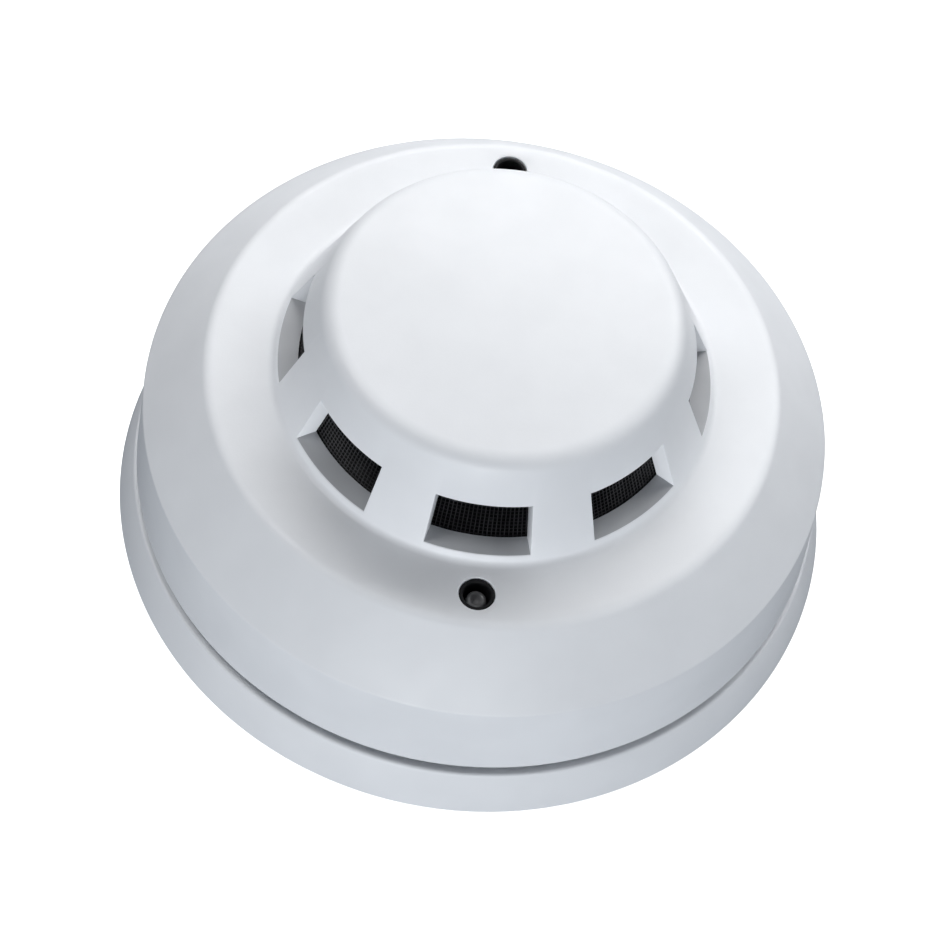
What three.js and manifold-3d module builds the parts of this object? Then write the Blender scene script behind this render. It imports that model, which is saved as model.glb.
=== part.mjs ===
// A ceiling heat detector: a twist-off sensing head on a wired mounting base.
// Millimetres, +Z up through the dome. The origin is the centre of the base's back face.
// The two indicator lamps lie on the Y axis, and the head turns about +Z to come off the base.

import * as THREE from 'three';
import { mergeVertices } from 'three/addons/utils/BufferGeometryUtils.js';
import Module from 'manifold-3d';

const wasm = await Module();
wasm.setup();

// ---------------------------------------------------------------- driving dimensions

const FULL_TURN = 360;
const ROUND = 72;           // facets of the large rings
const SMALL_ROUND = 14;     // facets of screws, pins and holes
const GAP = 0.3;            // clearance between neighbouring pieces
const SLIM_GAP = 0.1;       // clearance between pieces stacked face to face

const BASE = {
  footRadius: 53,
  rimRadius: 50.8,
  rimTop: 7.7,
  floor: 2.2,
  innerFootRadius: 50.2,
  innerRimRadius: 49.3,
  edge: 0.5,
};
const CABLE_ENTRY_RADIUS = 13;
const CABLE_COLLAR = { radius: 15, top: 4 };
const FIXING_SLOT = { centre: 30, length: 11, width: 5, padWidth: 12, padLength: 19, padTop: 3 };

const BAYONET = {
  count: 3,
  firstAngle: 60,
  lugHalfAngle: 8,
  hookHalfAngle: 8.5,
  stopAngle: 3.5,
  lugRadius: 48.9,
  hookRadius: 47.3,
  lugBottom: 3.1,
  lugTop: 4.7,
  hookBottom: 5,
  hookTop: 6.8,
};

const TERMINAL = { count: 4, firstAngle: 32, radius: 33 };
const TERMINAL_POST = { width: 11, top: 4.6, holeRadius: 1.75, holeBottom: 1 };
const CONTACT = { thickness: 0.6, footHalf: 4.8, armWidth: 6, armLength: 20, bend: 9, tipTop: 8.4 };
const WASHER = { side: 7.6, thickness: 0.8 };
const TERMINAL_SCREW = { shank: 1.5, head: 2.9, headHeight: 1.7, length: 4.6 };

const COVER = {
  rimBottom: 9.2,
  rimRadius: 50.4,
  creaseRadius: 49.6,
  creaseHeight: 23.6,
  shoulderRadius: 40.8,
  shoulderRound: 2,
  plateau: 33.6,
  valleyRound: 1.2,
  bandFoot: 31.5,
  bandTop: 24.75,
  bandTopHeight: 49.2,
  edgeRound: 3.2,
  crownHeight: 50.7,
  crownRise: 1.3,
  wall: 2.1,
  bandWall: 3,
  ceiling: 46.8,
};
const AIR_SLOT = { count: 8, firstAngle: 88.9, halfAngle: 13.8, bottom: 35, top: 42.5, inner: 22.5, outer: 33 };
const LAMP = { count: 2, radius: 36.2, holeRadius: 2.65 };
const HOUSING_POST = { count: 3, firstAngle: 0, radius: 41.8, outer: 2.8, hole: 1.5, depth: 10, top: 28 };

const REAR = {
  plateBottom: 10.8,
  plateTop: 12.6,
  plateRadius: 47.9,
  skirtOuter: 46.8,
  skirtInner: 45,
  skirtBottom: 2.9,
};
const BLADE = { angle: 66, radius: 35, width: 7, thickness: 0.6, padBottom: 8.8, reach: 8, stepTop: 1, stepFoot: 0.6 };
const RIVET = {
  radius: 34,
  offset: 4.5,
  shank: 1.1,
  hole: 1.4,
  head: 2.2,
  headHeight: 1.2,
  headTop: 1.3,
  headEdge: 0.5,
  collar: 1.75,
  collarTop: 1.4,
  collarHeight: 0.7,
};

const BOARD = { radius: 40, bottom: 14.6, top: 16.2, notch: 3.6 };
const BOARD_POST = { radius: 24, angles: [20, 200], outer: 3.2, hole: 1.45 };

const HOLDER = { towerOuter: 12, towerInner: 10.4, discBottom: 30.6, discTop: 32.2, discRadius: 28.3 };
const SCREEN = { top: 45.6, thickness: 0.5, gap: 0.35 };
const PROBE_TUBE = { outer: 3.2, bore: 1.7, top: 37.5, flare: 1, seat: 1 };

// The head of every screw, as shares of its radius and height.
const SCREW_HEAD = { sideShare: 0.55, topShare: 0.72, recessLength: 1.1, recessWidth: 0.24, recessFloor: 0.45 };
const HOUSING_SCREW = { shank: 1.3, head: 2.6, headHeight: 1.5, length: 9 };
const BOARD_SCREW = { shank: 1.3, head: 2.5, headHeight: 1.5, length: 4 };

const LAMP_BODY = { radius: 1.5, flange: 1.8, flangeHeight: 0.8, length: 3.6, sunk: 3.1, lead: 0.5, leadOffset: 0.9 };
const LAMP_TUBE = { outer: 3.5, bore: 1.9, snoutClearance: 0.15, sunk: 0.2 };
const BEAD = { stretch: 1.25, lead: 0.3, leadSpacing: 1.5 };
const SENSING_BEAD = { radius: 1.4, height: 42 };
const REFERENCE_BEAD = { radius: 1.3, height: 20 };
const PIN = { width: 0.5, length: 1.6, thickness: 0.7, overlap: 0.5, bodyLift: 0.3 };
const CHIP = { width: 10, depth: 4, height: 1.8, pinsPerSide: 7, pinPitch: 1.27 };
const RECTIFIER = { width: 8.5, depth: 6.4, height: 2.6, pinsPerSide: 2, pinPitch: 5.1 };
const CAPACITOR = { radius: 3.2, groove: 3, grooveBottom: 1, grooveTop: 1.6, shoulder: 7.4, top: 7.8, topRadius: 2.8 };
const TRANSISTOR = { radius: 2.3, bottom: 3, top: 7.6, flatAt: 1.4, legPitch: 1.27, leg: 0.5 };
const AXIAL = { endShare: 0.8, endLength: 0.7, lift: 0.4, wire: 0.5 };
const SUPPRESSOR = { radius: 1.4, length: 5, span: 10 };
const RESISTOR = { radius: 1, length: 4.6, span: 8.6 };

// Where each component stands on the board: its angle in degrees, and its distance from the axis.
const PLACES = {
  referenceBead: [150, 22],
  chip: [245, 22],
  rectifier: [300, 23],
  capacitor: [50, 23],
  transistor: [110, 24],
  suppressor: [340, 24],
  resistors: [[80, 28], [175, 28], [222, 28], [272, 28]],
};

// ---------------------------------------------------------------- solids

function radians(degrees) {
  return degrees * Math.PI / 180;
}

function around(count, firstAngle = 0) {
  return Array.from({ length: count }, (_, i) => firstAngle + i * FULL_TURN / count);
}

// A closed mesh with shared vertices and no flat triangles, as a solid that can be cut and joined.
function toSolid(geometry) {
  const bare = geometry.clone();
  bare.deleteAttribute('normal');
  bare.deleteAttribute('uv');
  const merged = mergeVertices(bare, 1e-4);
  const corners = merged.index.array;
  const triangles = [];
  for (let i = 0; i < corners.length; i += 3) {
    const [a, b, c] = corners.slice(i, i + 3);
    if (a !== b && b !== c && c !== a) triangles.push(a, b, c);
  }
  return new wasm.Manifold(new wasm.Mesh({
    numProp: 3,
    vertProperties: new Float32Array(merged.attributes.position.array),
    triVerts: new Uint32Array(triangles),
  }));
}

function toGeometry(solid) {
  const mesh = solid.getMesh();
  const geometry = new THREE.BufferGeometry();
  geometry.setAttribute('position', new THREE.BufferAttribute(mesh.vertProperties, 3));
  geometry.setIndex(new THREE.BufferAttribute(mesh.triVerts, 1));
  geometry.computeVertexNormals();
  return geometry;
}

function join(...geometries) {
  return toGeometry(geometries.map(toSolid).reduce((sum, next) => sum.add(next)));
}

function cut(body, ...tools) {
  return toGeometry(tools.map(toSolid).reduce((rest, tool) => rest.subtract(tool), toSolid(body)));
}

// A ring or disc turned about Z. The outline lists [radius, height] corners, outer side upwards.
function turned(outline, facets = ROUND) {
  const points = outline.map(([radius, height]) => new THREE.Vector2(radius, height));
  const closed = points[0].x === 0 && points.at(-1).x === 0;
  if (!closed) points.push(points[0].clone());
  return new THREE.LatheGeometry(points, facets).rotateX(Math.PI / 2);
}

function tube(inner, outer, bottom, top, facets = SMALL_ROUND) {
  return turned([[outer, bottom], [outer, top], [inner, top], [inner, bottom]], facets);
}

function rod(radius, bottom, top, facets = SMALL_ROUND) {
  return new THREE.CylinderGeometry(radius, radius, top - bottom, facets)
    .rotateX(Math.PI / 2)
    .translate(0, 0, (bottom + top) / 2);
}

function block(width, depth, bottom, top) {
  return new THREE.BoxGeometry(width, depth, top - bottom).translate(0, 0, (bottom + top) / 2);
}

// A flat outline in X and Y, made thick from bottom to top.
function slab(outline, bottom, top) {
  return new THREE.ExtrudeGeometry(outline, { depth: top - bottom, bevelEnabled: false, curveSegments: 6 })
    .translate(0, 0, bottom);
}

function polar(geometry, radius, angle, offset = 0) {
  return geometry.translate(radius, offset, 0).rotateZ(radians(angle));
}

// A piece of a ring between two radii, centred on an angle.
function sector(inner, outer, angle, halfAngle, bottom, top) {
  const shape = new THREE.Shape();
  shape.absarc(0, 0, outer, radians(angle - halfAngle), radians(angle + halfAngle), false);
  shape.absarc(0, 0, inner, radians(angle + halfAngle), radians(angle - halfAngle), true);
  shape.closePath();
  return slab(shape, bottom, top);
}

function oblong(length, width) {
  const shape = new THREE.Shape();
  const half = (length - width) / 2;
  shape.absarc(half, 0, width / 2, -Math.PI / 2, Math.PI / 2, false);
  shape.absarc(-half, 0, width / 2, Math.PI / 2, Math.PI * 3 / 2, false);
  shape.closePath();
  return shape;
}

// The arc that rounds one corner of an outline, as a list of [radius, height] points.
function roundCorner(before, corner, after, radius, steps) {
  const at = new THREE.Vector2(...corner);
  const back = new THREE.Vector2(...before).sub(at).normalize();
  const ahead = new THREE.Vector2(...after).sub(at).normalize();
  const half = Math.acos(back.dot(ahead)) / 2;
  const centre = back.clone().add(ahead).normalize().multiplyScalar(radius / Math.sin(half)).add(at);
  const start = back.multiplyScalar(radius / Math.tan(half)).add(at).sub(centre);
  const end = ahead.multiplyScalar(radius / Math.tan(half)).add(at).sub(centre);
  const sweep = Math.atan2(start.cross(end), start.dot(end));
  return Array.from({ length: steps + 1 }, (_, i) => {
    const point = start.clone().rotateAround(new THREE.Vector2(), sweep * i / steps).add(centre);
    return [point.x, point.y];
  });
}

// ---------------------------------------------------------------- mounting base

function mountingBase() {
  const wall = turned([
    [BASE.footRadius, 0],
    [BASE.rimRadius, BASE.rimTop - BASE.edge],
    [BASE.rimRadius - BASE.edge, BASE.rimTop],
    [BASE.innerRimRadius, BASE.rimTop],
    [BASE.innerFootRadius, BASE.floor],
    [CABLE_COLLAR.radius, BASE.floor],
    [CABLE_COLLAR.radius, CABLE_COLLAR.top],
    [CABLE_ENTRY_RADIUS, CABLE_COLLAR.top],
    [CABLE_ENTRY_RADIUS, 0],
  ]);
  const terminalAngles = around(TERMINAL.count, TERMINAL.firstAngle);
  const posts = terminalAngles.map((angle) => polar(
    block(TERMINAL_POST.width, TERMINAL_POST.width, BASE.floor / 2, TERMINAL_POST.top),
    TERMINAL.radius, angle));
  const postHoles = terminalAngles.map((angle) => polar(
    rod(TERMINAL_POST.holeRadius, TERMINAL_POST.holeBottom, TERMINAL_POST.top + GAP),
    TERMINAL.radius, angle));
  const pads = [0, 180].map((angle) => polar(
    slab(oblong(FIXING_SLOT.padLength, FIXING_SLOT.padWidth), BASE.floor / 2, FIXING_SLOT.padTop),
    FIXING_SLOT.centre, angle));
  const slots = [0, 180].map((angle) => polar(
    slab(oblong(FIXING_SLOT.length, FIXING_SLOT.width), -GAP, FIXING_SLOT.padTop + GAP),
    FIXING_SLOT.centre, angle));
  const hookAngles = around(BAYONET.count, BAYONET.firstAngle);
  const hooks = hookAngles.map((angle) => sector(
    BAYONET.hookRadius, BASE.innerRimRadius + GAP, angle,
    BAYONET.hookHalfAngle, BAYONET.hookBottom, BAYONET.hookTop));
  const stops = hookAngles.map((angle) => sector(
    BAYONET.hookRadius, BASE.innerRimRadius + GAP,
    angle - BAYONET.hookHalfAngle - BAYONET.stopAngle / 2, BAYONET.stopAngle / 2,
    BASE.floor / 2, BAYONET.hookTop));
  return cut(join(wall, ...posts, ...pads, ...hooks, ...stops), ...postHoles, ...slots);
}

// A spring strip: a square foot under the screw, and an arm that rises along +Y to its tip.
function terminalContact() {
  const foot = TERMINAL_POST.top + SLIM_GAP;
  const side = new THREE.Shape();
  const under = CONTACT.tipTop - CONTACT.thickness;
  side.moveTo(-CONTACT.footHalf, foot);
  side.lineTo(CONTACT.footHalf, foot);
  side.lineTo(CONTACT.bend + CONTACT.footHalf, under);
  side.lineTo(CONTACT.armLength, under);
  side.lineTo(CONTACT.armLength, CONTACT.tipTop);
  side.lineTo(CONTACT.bend + CONTACT.footHalf, CONTACT.tipTop);
  side.lineTo(CONTACT.footHalf, foot + CONTACT.thickness);
  side.lineTo(-CONTACT.footHalf, foot + CONTACT.thickness);
  side.closePath();
  const strip = new THREE.ExtrudeGeometry(side, { depth: CONTACT.armWidth, bevelEnabled: false })
    .translate(0, 0, -CONTACT.armWidth / 2)
    .rotateZ(Math.PI / 2)
    .rotateY(Math.PI / 2);
  const hole = rod(TERMINAL_POST.holeRadius, 0, BASE.rimTop);
  return cut(strip, hole);
}

function terminalWasher() {
  const bottom = TERMINAL_POST.top + CONTACT.thickness + 2 * SLIM_GAP;
  const plate = block(WASHER.side, WASHER.side, bottom, bottom + WASHER.thickness);
  return cut(plate, rod(TERMINAL_SCREW.shank + SLIM_GAP, 0, BASE.rimTop));
}

// A pan head with a cross recess on a plain shank, its head's underside at the given height.
function screw({ shank, head, headHeight, length }, underside) {
  const body = turned([
    [0, underside - length],
    [shank, underside - length],
    [shank, underside],
    [head, underside],
    [head, underside + headHeight * SCREW_HEAD.sideShare],
    [head * SCREW_HEAD.topShare, underside + headHeight],
    [0, underside + headHeight],
  ], SMALL_ROUND);
  const recess = [0, 90].map((angle) => block(
    head * SCREW_HEAD.recessLength, head * SCREW_HEAD.recessWidth,
    underside + headHeight * SCREW_HEAD.recessFloor, underside + headHeight + GAP)
    .rotateZ(radians(angle)));
  return cut(body, ...recess);
}

function terminalScrew() {
  const underside = TERMINAL_POST.top + CONTACT.thickness + WASHER.thickness + 3 * SLIM_GAP;
  return screw(TERMINAL_SCREW, underside);
}

// ---------------------------------------------------------------- head shells

function bandRadius(height) {
  const share = (height - COVER.plateau) / (COVER.bandTopHeight - COVER.plateau);
  return COVER.bandFoot + share * (COVER.bandTop - COVER.bandFoot);
}

// The convex top, from its rim to the axis, drawn as an arc of a large sphere.
function crown(rimRadius, topHeight, rise, steps) {
  const sphere = (rimRadius ** 2 + rise ** 2) / (2 * rise);
  return Array.from({ length: steps + 1 }, (_, i) => {
    const radius = rimRadius * (1 - i / steps);
    return [radius, topHeight - sphere + Math.sqrt(sphere ** 2 - radius ** 2)];
  });
}

function topCover() {
  const rim = [COVER.rimRadius, COVER.rimBottom];
  const crease = [COVER.creaseRadius, COVER.creaseHeight];
  const shoulder = [COVER.shoulderRadius, COVER.plateau];
  const valley = [COVER.bandFoot, COVER.plateau];
  const bandTop = [COVER.bandTop, COVER.bandTopHeight];
  const underside = COVER.plateau - COVER.wall;
  const shell = turned([
    rim,
    crease,
    ...roundCorner(crease, shoulder, valley, COVER.shoulderRound, 3),
    ...roundCorner(shoulder, valley, bandTop, COVER.valleyRound, 3),
    ...roundCorner(valley, bandTop, [0, COVER.crownHeight], COVER.edgeRound, 5),
    ...crown(COVER.bandTop - COVER.edgeRound, COVER.crownHeight, COVER.crownRise, 4),
    [0, COVER.crownHeight - COVER.wall],
    [bandRadius(COVER.ceiling) - COVER.bandWall, COVER.ceiling],
    [COVER.bandFoot - COVER.bandWall, COVER.plateau],
    [COVER.bandFoot - COVER.wall / 2, underside],
    [COVER.shoulderRadius - COVER.wall / 2, underside],
    [COVER.creaseRadius - COVER.wall, COVER.creaseHeight - COVER.wall / 2],
    [COVER.rimRadius - COVER.wall, COVER.rimBottom],
  ]);
  const posts = around(HOUSING_POST.count, HOUSING_POST.firstAngle).map((angle) => polar(
    rod(HOUSING_POST.outer, REAR.plateTop + GAP, HOUSING_POST.top), HOUSING_POST.radius, angle));
  const postHoles = around(HOUSING_POST.count, HOUSING_POST.firstAngle).map((angle) => polar(
    rod(HOUSING_POST.hole, REAR.plateTop, REAR.plateTop + HOUSING_POST.depth), HOUSING_POST.radius, angle));
  const airSlots = around(AIR_SLOT.count, AIR_SLOT.firstAngle).map((angle) => sector(
    AIR_SLOT.inner, AIR_SLOT.outer, angle, AIR_SLOT.halfAngle, AIR_SLOT.bottom, AIR_SLOT.top));
  const lampHoles = around(LAMP.count, 90).map((angle) => polar(
    rod(LAMP.holeRadius, underside - GAP, COVER.plateau + GAP, 24), LAMP.radius, angle));
  return cut(join(shell, ...posts), ...postHoles, ...airSlots, ...lampHoles);
}

function rearCover() {
  const plate = rod(REAR.plateRadius, REAR.plateBottom, REAR.plateTop, ROUND);
  const skirt = tube(REAR.skirtInner, REAR.skirtOuter, REAR.skirtBottom, REAR.plateBottom + GAP, ROUND);
  const lugs = around(BAYONET.count, BAYONET.firstAngle).map((angle) => sector(
    REAR.skirtOuter - GAP, BAYONET.lugRadius, angle,
    BAYONET.lugHalfAngle, BAYONET.lugBottom, BAYONET.lugTop));
  const boardPosts = BOARD_POST.angles.map((angle) => polar(
    rod(BOARD_POST.outer, REAR.plateBottom + GAP, BOARD.bottom - SLIM_GAP), BOARD_POST.radius, angle));
  const boardHoles = BOARD_POST.angles.map((angle) => polar(
    rod(BOARD_POST.hole, REAR.plateBottom + 2 * GAP, BOARD.bottom), BOARD_POST.radius, angle));
  const screwHoles = around(HOUSING_POST.count, HOUSING_POST.firstAngle).map((angle) => polar(
    rod(HOUSING_POST.hole + GAP, REAR.plateBottom - GAP, REAR.plateTop + GAP), HOUSING_POST.radius, angle));
  const rivetHoles = around(TERMINAL.count, BLADE.angle).map((angle) => polar(
    rod(RIVET.hole, REAR.plateBottom - GAP, REAR.plateTop + GAP), RIVET.radius, angle, RIVET.offset));
  return cut(join(plate, skirt, ...lugs, ...boardPosts), ...boardHoles, ...screwHoles, ...rivetHoles);
}

// A stepped strip under the rear cover: a low pad that meets the base's spring arm, and a high foot.
function contactBlade() {
  const foot = REAR.plateBottom - SLIM_GAP;
  const pad = BLADE.padBottom;
  const side = new THREE.Shape();
  side.moveTo(-BLADE.reach, pad);
  side.lineTo(0, pad);
  side.lineTo(BLADE.stepTop, foot - BLADE.thickness);
  side.lineTo(BLADE.reach, foot - BLADE.thickness);
  side.lineTo(BLADE.reach, foot);
  side.lineTo(BLADE.stepTop - BLADE.stepFoot, foot);
  side.lineTo(-BLADE.stepFoot, pad + BLADE.thickness);
  side.lineTo(-BLADE.reach, pad + BLADE.thickness);
  side.closePath();
  const strip = new THREE.ExtrudeGeometry(side, { depth: BLADE.width, bevelEnabled: false })
    .translate(0, 0, -BLADE.width / 2)
    .rotateZ(Math.PI / 2)
    .rotateY(Math.PI / 2)
    .translate(BLADE.radius, 0, 0);
  const hole = rod(RIVET.hole, 0, BOARD.top).translate(RIVET.radius, RIVET.offset, 0);
  return cut(strip, hole);
}

// The rivet that holds a blade and carries its current up to the board.
function contactRivet() {
  const headTop = REAR.plateBottom - BLADE.thickness - 2 * SLIM_GAP;
  const collar = BOARD.top + SLIM_GAP;
  return turned([
    [0, headTop - RIVET.headHeight],
    [RIVET.headTop, headTop - RIVET.headHeight],
    [RIVET.head, headTop - RIVET.headEdge],
    [RIVET.head, headTop],
    [RIVET.shank, headTop],
    [RIVET.shank, collar],
    [RIVET.collar, collar],
    [RIVET.collarTop, collar + RIVET.collarHeight],
    [0, collar + RIVET.collarHeight],
  ], SMALL_ROUND).translate(RIVET.radius, RIVET.offset, 0);
}

// ---------------------------------------------------------------- electronics

function circuitBoard() {
  const disc = rod(BOARD.radius, BOARD.bottom, BOARD.top, 48);
  const notches = around(HOUSING_POST.count, HOUSING_POST.firstAngle).map((angle) => polar(
    rod(BOARD.notch, BOARD.bottom - GAP, BOARD.top + GAP), HOUSING_POST.radius, angle));
  const screwHoles = BOARD_POST.angles.map((angle) => polar(
    rod(BOARD_POST.hole + GAP, BOARD.bottom - GAP, BOARD.top + GAP), BOARD_POST.radius, angle));
  const rivetHoles = around(TERMINAL.count, BLADE.angle).map((angle) => polar(
    rod(RIVET.hole, BOARD.bottom - GAP, BOARD.top + GAP), RIVET.radius, angle, RIVET.offset));
  return cut(disc, ...notches, ...screwHoles, ...rivetHoles);
}

// The black carrier: a tower on the board, a disc that closes the dome, and a tube for the probe.
function sensorHolder() {
  return turned([
    [HOLDER.towerOuter, BOARD.top + SLIM_GAP],
    [HOLDER.towerOuter, HOLDER.discBottom],
    [HOLDER.discRadius, HOLDER.discBottom],
    [HOLDER.discRadius, HOLDER.discTop],
    [PROBE_TUBE.outer + PROBE_TUBE.flare, HOLDER.discTop],
    [PROBE_TUBE.outer, PROBE_TUBE.top],
    [PROBE_TUBE.bore, PROBE_TUBE.top],
    [PROBE_TUBE.bore, HOLDER.discBottom - PROBE_TUBE.seat],
    [HOLDER.towerInner, HOLDER.discBottom - PROBE_TUBE.seat],
    [HOLDER.towerInner, BOARD.top + SLIM_GAP],
  ], 40);
}

// The ring of fine mesh that stands behind the air slots.
function insectScreen() {
  const foot = HOLDER.discTop + SLIM_GAP;
  const faceRadius = (height) => bandRadius(height) - COVER.bandWall - SCREEN.gap;
  return turned([
    [faceRadius(COVER.plateau), foot],
    [faceRadius(COVER.plateau), COVER.plateau],
    [faceRadius(SCREEN.top), SCREEN.top],
    [faceRadius(SCREEN.top) - SCREEN.thickness, SCREEN.top],
    [faceRadius(COVER.plateau) - SCREEN.thickness, COVER.plateau],
    [faceRadius(COVER.plateau) - SCREEN.thickness, foot],
  ]);
}

// A bead on two stiff leads that stand on the board.
function thermistor({ radius, height }) {
  const bead = new THREE.SphereGeometry(radius, 14, 8)
    .scale(1, 1, BEAD.stretch)
    .translate(0, 0, height);
  const leads = [-1, 1].map((side) => rod(BEAD.lead, BOARD.top + SLIM_GAP, height, 6)
    .translate(side * BEAD.leadSpacing / 2, 0, 0));
  return join(bead, ...leads);
}

// The black tube that holds a lamp. Its narrow snout fills the hole in the cover.
function lampHolder() {
  const shoulder = COVER.plateau - COVER.wall - GAP;
  const snout = LAMP.holeRadius - LAMP_TUBE.snoutClearance;
  const top = COVER.plateau - LAMP_TUBE.sunk;
  return turned([
    [LAMP_TUBE.outer, BOARD.top + SLIM_GAP],
    [LAMP_TUBE.outer, shoulder],
    [snout, shoulder],
    [snout, top],
    [LAMP_TUBE.bore, top],
    [LAMP_TUBE.bore, BOARD.top + SLIM_GAP],
  ], 24);
}

// A domed lamp with a flange at its foot and two leads down to the board.
function lamp() {
  const domeCentre = COVER.plateau - LAMP_BODY.sunk;
  const foot = domeCentre - LAMP_BODY.length;
  const dome = [0, 1, 2, 3].map((i) => {
    const angle = Math.PI / 2 * i / 4;
    return [LAMP_BODY.radius * Math.cos(angle), domeCentre + LAMP_BODY.radius * Math.sin(angle)];
  });
  const body = turned([
    [0, foot],
    [LAMP_BODY.flange, foot],
    [LAMP_BODY.flange, foot + LAMP_BODY.flangeHeight],
    [LAMP_BODY.radius, foot + LAMP_BODY.flangeHeight],
    ...dome,
    [0, domeCentre + LAMP_BODY.radius],
  ], 16);
  const leads = [-1, 1].map((side) => block(LAMP_BODY.lead, LAMP_BODY.lead, BOARD.top + SLIM_GAP, foot + GAP)
    .translate(0, side * LAMP_BODY.leadOffset, 0));
  return join(body, ...leads);
}

// A flat moulded package with rows of bent pins along its two long sides.
function packageWithPins({ width, depth, height, pinsPerSide, pinPitch }) {
  const board = BOARD.top + SLIM_GAP;
  const body = block(width, depth, board + PIN.bodyLift, board + height);
  const pins = [];
  for (const side of [-1, 1]) {
    for (let i = 0; i < pinsPerSide; i += 1) {
      const along = (i - (pinsPerSide - 1) / 2) * pinPitch;
      pins.push(block(PIN.width, PIN.length, board, board + PIN.thickness)
        .translate(along, side * (depth / 2 + PIN.overlap), 0));
    }
  }
  return join(body, ...pins);
}

function electrolyticCapacitor() {
  const bottom = BOARD.top + SLIM_GAP;
  return turned([
    [0, bottom],
    [CAPACITOR.radius, bottom],
    [CAPACITOR.radius, bottom + CAPACITOR.grooveBottom],
    [CAPACITOR.groove, bottom + (CAPACITOR.grooveBottom + CAPACITOR.grooveTop) / 2],
    [CAPACITOR.radius, bottom + CAPACITOR.grooveTop],
    [CAPACITOR.radius, bottom + CAPACITOR.shoulder],
    [CAPACITOR.topRadius, bottom + CAPACITOR.top],
    [0, bottom + CAPACITOR.top],
  ], 20);
}

// A small moulded transistor: a cylinder with one flat side on three legs.
function transistor() {
  const bottom = BOARD.top + SLIM_GAP;
  const side = 2 * TRANSISTOR.radius;
  const body = cut(
    rod(TRANSISTOR.radius, bottom + TRANSISTOR.bottom, bottom + TRANSISTOR.top, 18),
    block(2 * side, side, bottom, bottom + 2 * side).translate(0, side / 2 + TRANSISTOR.flatAt, 0));
  const legs = [-1, 0, 1].map((place) => block(
    TRANSISTOR.leg, TRANSISTOR.leg, bottom, bottom + TRANSISTOR.bottom + GAP)
    .translate(place * TRANSISTOR.legPitch, 0, 0));
  return join(body, ...legs);
}

// A component lying along X with a lead bent down to the board at each end.
function axialComponent({ radius, length, span }) {
  const board = BOARD.top + SLIM_GAP;
  const height = board + radius + AXIAL.lift;
  const end = length / 2;
  const body = turned([
    [0, -end],
    [radius * AXIAL.endShare, -end],
    [radius, -end + AXIAL.endLength],
    [radius, end - AXIAL.endLength],
    [radius * AXIAL.endShare, end],
    [0, end],
  ], 12).rotateY(Math.PI / 2).translate(0, 0, height);
  const wire = block(span, AXIAL.wire, height - AXIAL.wire / 2, height + AXIAL.wire / 2);
  const legs = [-1, 1].map((side) => block(AXIAL.wire, AXIAL.wire, board, height + AXIAL.wire / 2)
    .translate(side * (span - AXIAL.wire) / 2, 0, 0));
  return join(body, wire, ...legs);
}

function housingScrew() {
  return screw(HOUSING_SCREW, 0)
    .rotateX(Math.PI)
    .translate(HOUSING_POST.radius, 0, REAR.plateBottom - SLIM_GAP);
}

function boardScrew() {
  return screw(BOARD_SCREW, BOARD.top + SLIM_GAP).translate(BOARD_POST.radius, 0, 0);
}

// ---------------------------------------------------------------- finishes

function finish(color, roughness, metalness = 0) {
  return () => new THREE.MeshStandardMaterial({ color, roughness, metalness });
}

const whiteShell = finish(0xeceef1, 0.45);
const blackPlastic = finish(0x17181a, 0.6);
const blackMesh = finish(0x141516, 0.7, 0.3);
const nickelPlate = finish(0xb9b6ae, 0.35, 1);
const brassPlate = finish(0xc2a35b, 0.35, 1);
const zincScrew = finish(0xc6c9cc, 0.35, 1);
const boardGreen = finish(0x1f6b3a, 0.5);
const moulding = finish(0x202225, 0.55);
const clearLamp = finish(0xb8433f, 0.15);
const capacitorSleeve = finish(0x23324f, 0.4);
const beadGlass = finish(0x8a4a2a, 0.3);
const resistorBody = finish(0xc9b58c, 0.5);

// ---------------------------------------------------------------- assembly

const detector = new THREE.Group();
const base = new THREE.Group();
const head = new THREE.Group();
detector.add(base, head);

function addPiece(group, name, geometry, material) {
  const mesh = new THREE.Mesh(geometry, material());
  mesh.name = name;
  group.add(mesh);
  return mesh;
}

function addTurnedGroup(parent, angle, radius = 0) {
  const group = new THREE.Group();
  group.position.set(radius * Math.cos(radians(angle)), radius * Math.sin(radians(angle)), 0);
  group.rotation.z = radians(angle);
  parent.add(group);
  return group;
}

addPiece(base, 'mounting_base', mountingBase(), whiteShell);
around(TERMINAL.count, TERMINAL.firstAngle).forEach((angle, i) => {
  const terminal = addTurnedGroup(base, angle, TERMINAL.radius);
  addPiece(terminal, `terminal_contact_${i + 1}`, terminalContact(), brassPlate);
  addPiece(terminal, `terminal_washer_${i + 1}`, terminalWasher(), nickelPlate);
  addPiece(terminal, `terminal_screw_${i + 1}`, terminalScrew(), zincScrew);
});

addPiece(head, 'top_cover', topCover(), whiteShell);
addPiece(head, 'rear_cover', rearCover(), whiteShell);
addPiece(head, 'insect_screen', insectScreen(), blackMesh);
addPiece(head, 'sensor_holder', sensorHolder(), blackPlastic);
addPiece(head, 'circuit_board', circuitBoard(), boardGreen);
around(TERMINAL.count, BLADE.angle).forEach((angle, i) => {
  const contact = addTurnedGroup(head, angle);
  addPiece(contact, `contact_blade_${i + 1}`, contactBlade(), nickelPlate);
  addPiece(contact, `contact_rivet_${i + 1}`, contactRivet(), nickelPlate);
});
around(LAMP.count, -90).forEach((angle, i) => {
  const place = addTurnedGroup(head, angle, LAMP.radius);
  addPiece(place, `indicator_lamp_${i + 1}`, lamp(), clearLamp);
  addPiece(place, `lamp_holder_${i + 1}`, lampHolder(), blackPlastic);
});
around(HOUSING_POST.count, HOUSING_POST.firstAngle).forEach((angle, i) => {
  addPiece(addTurnedGroup(head, angle), `housing_screw_${i + 1}`, housingScrew(), zincScrew);
});
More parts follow.
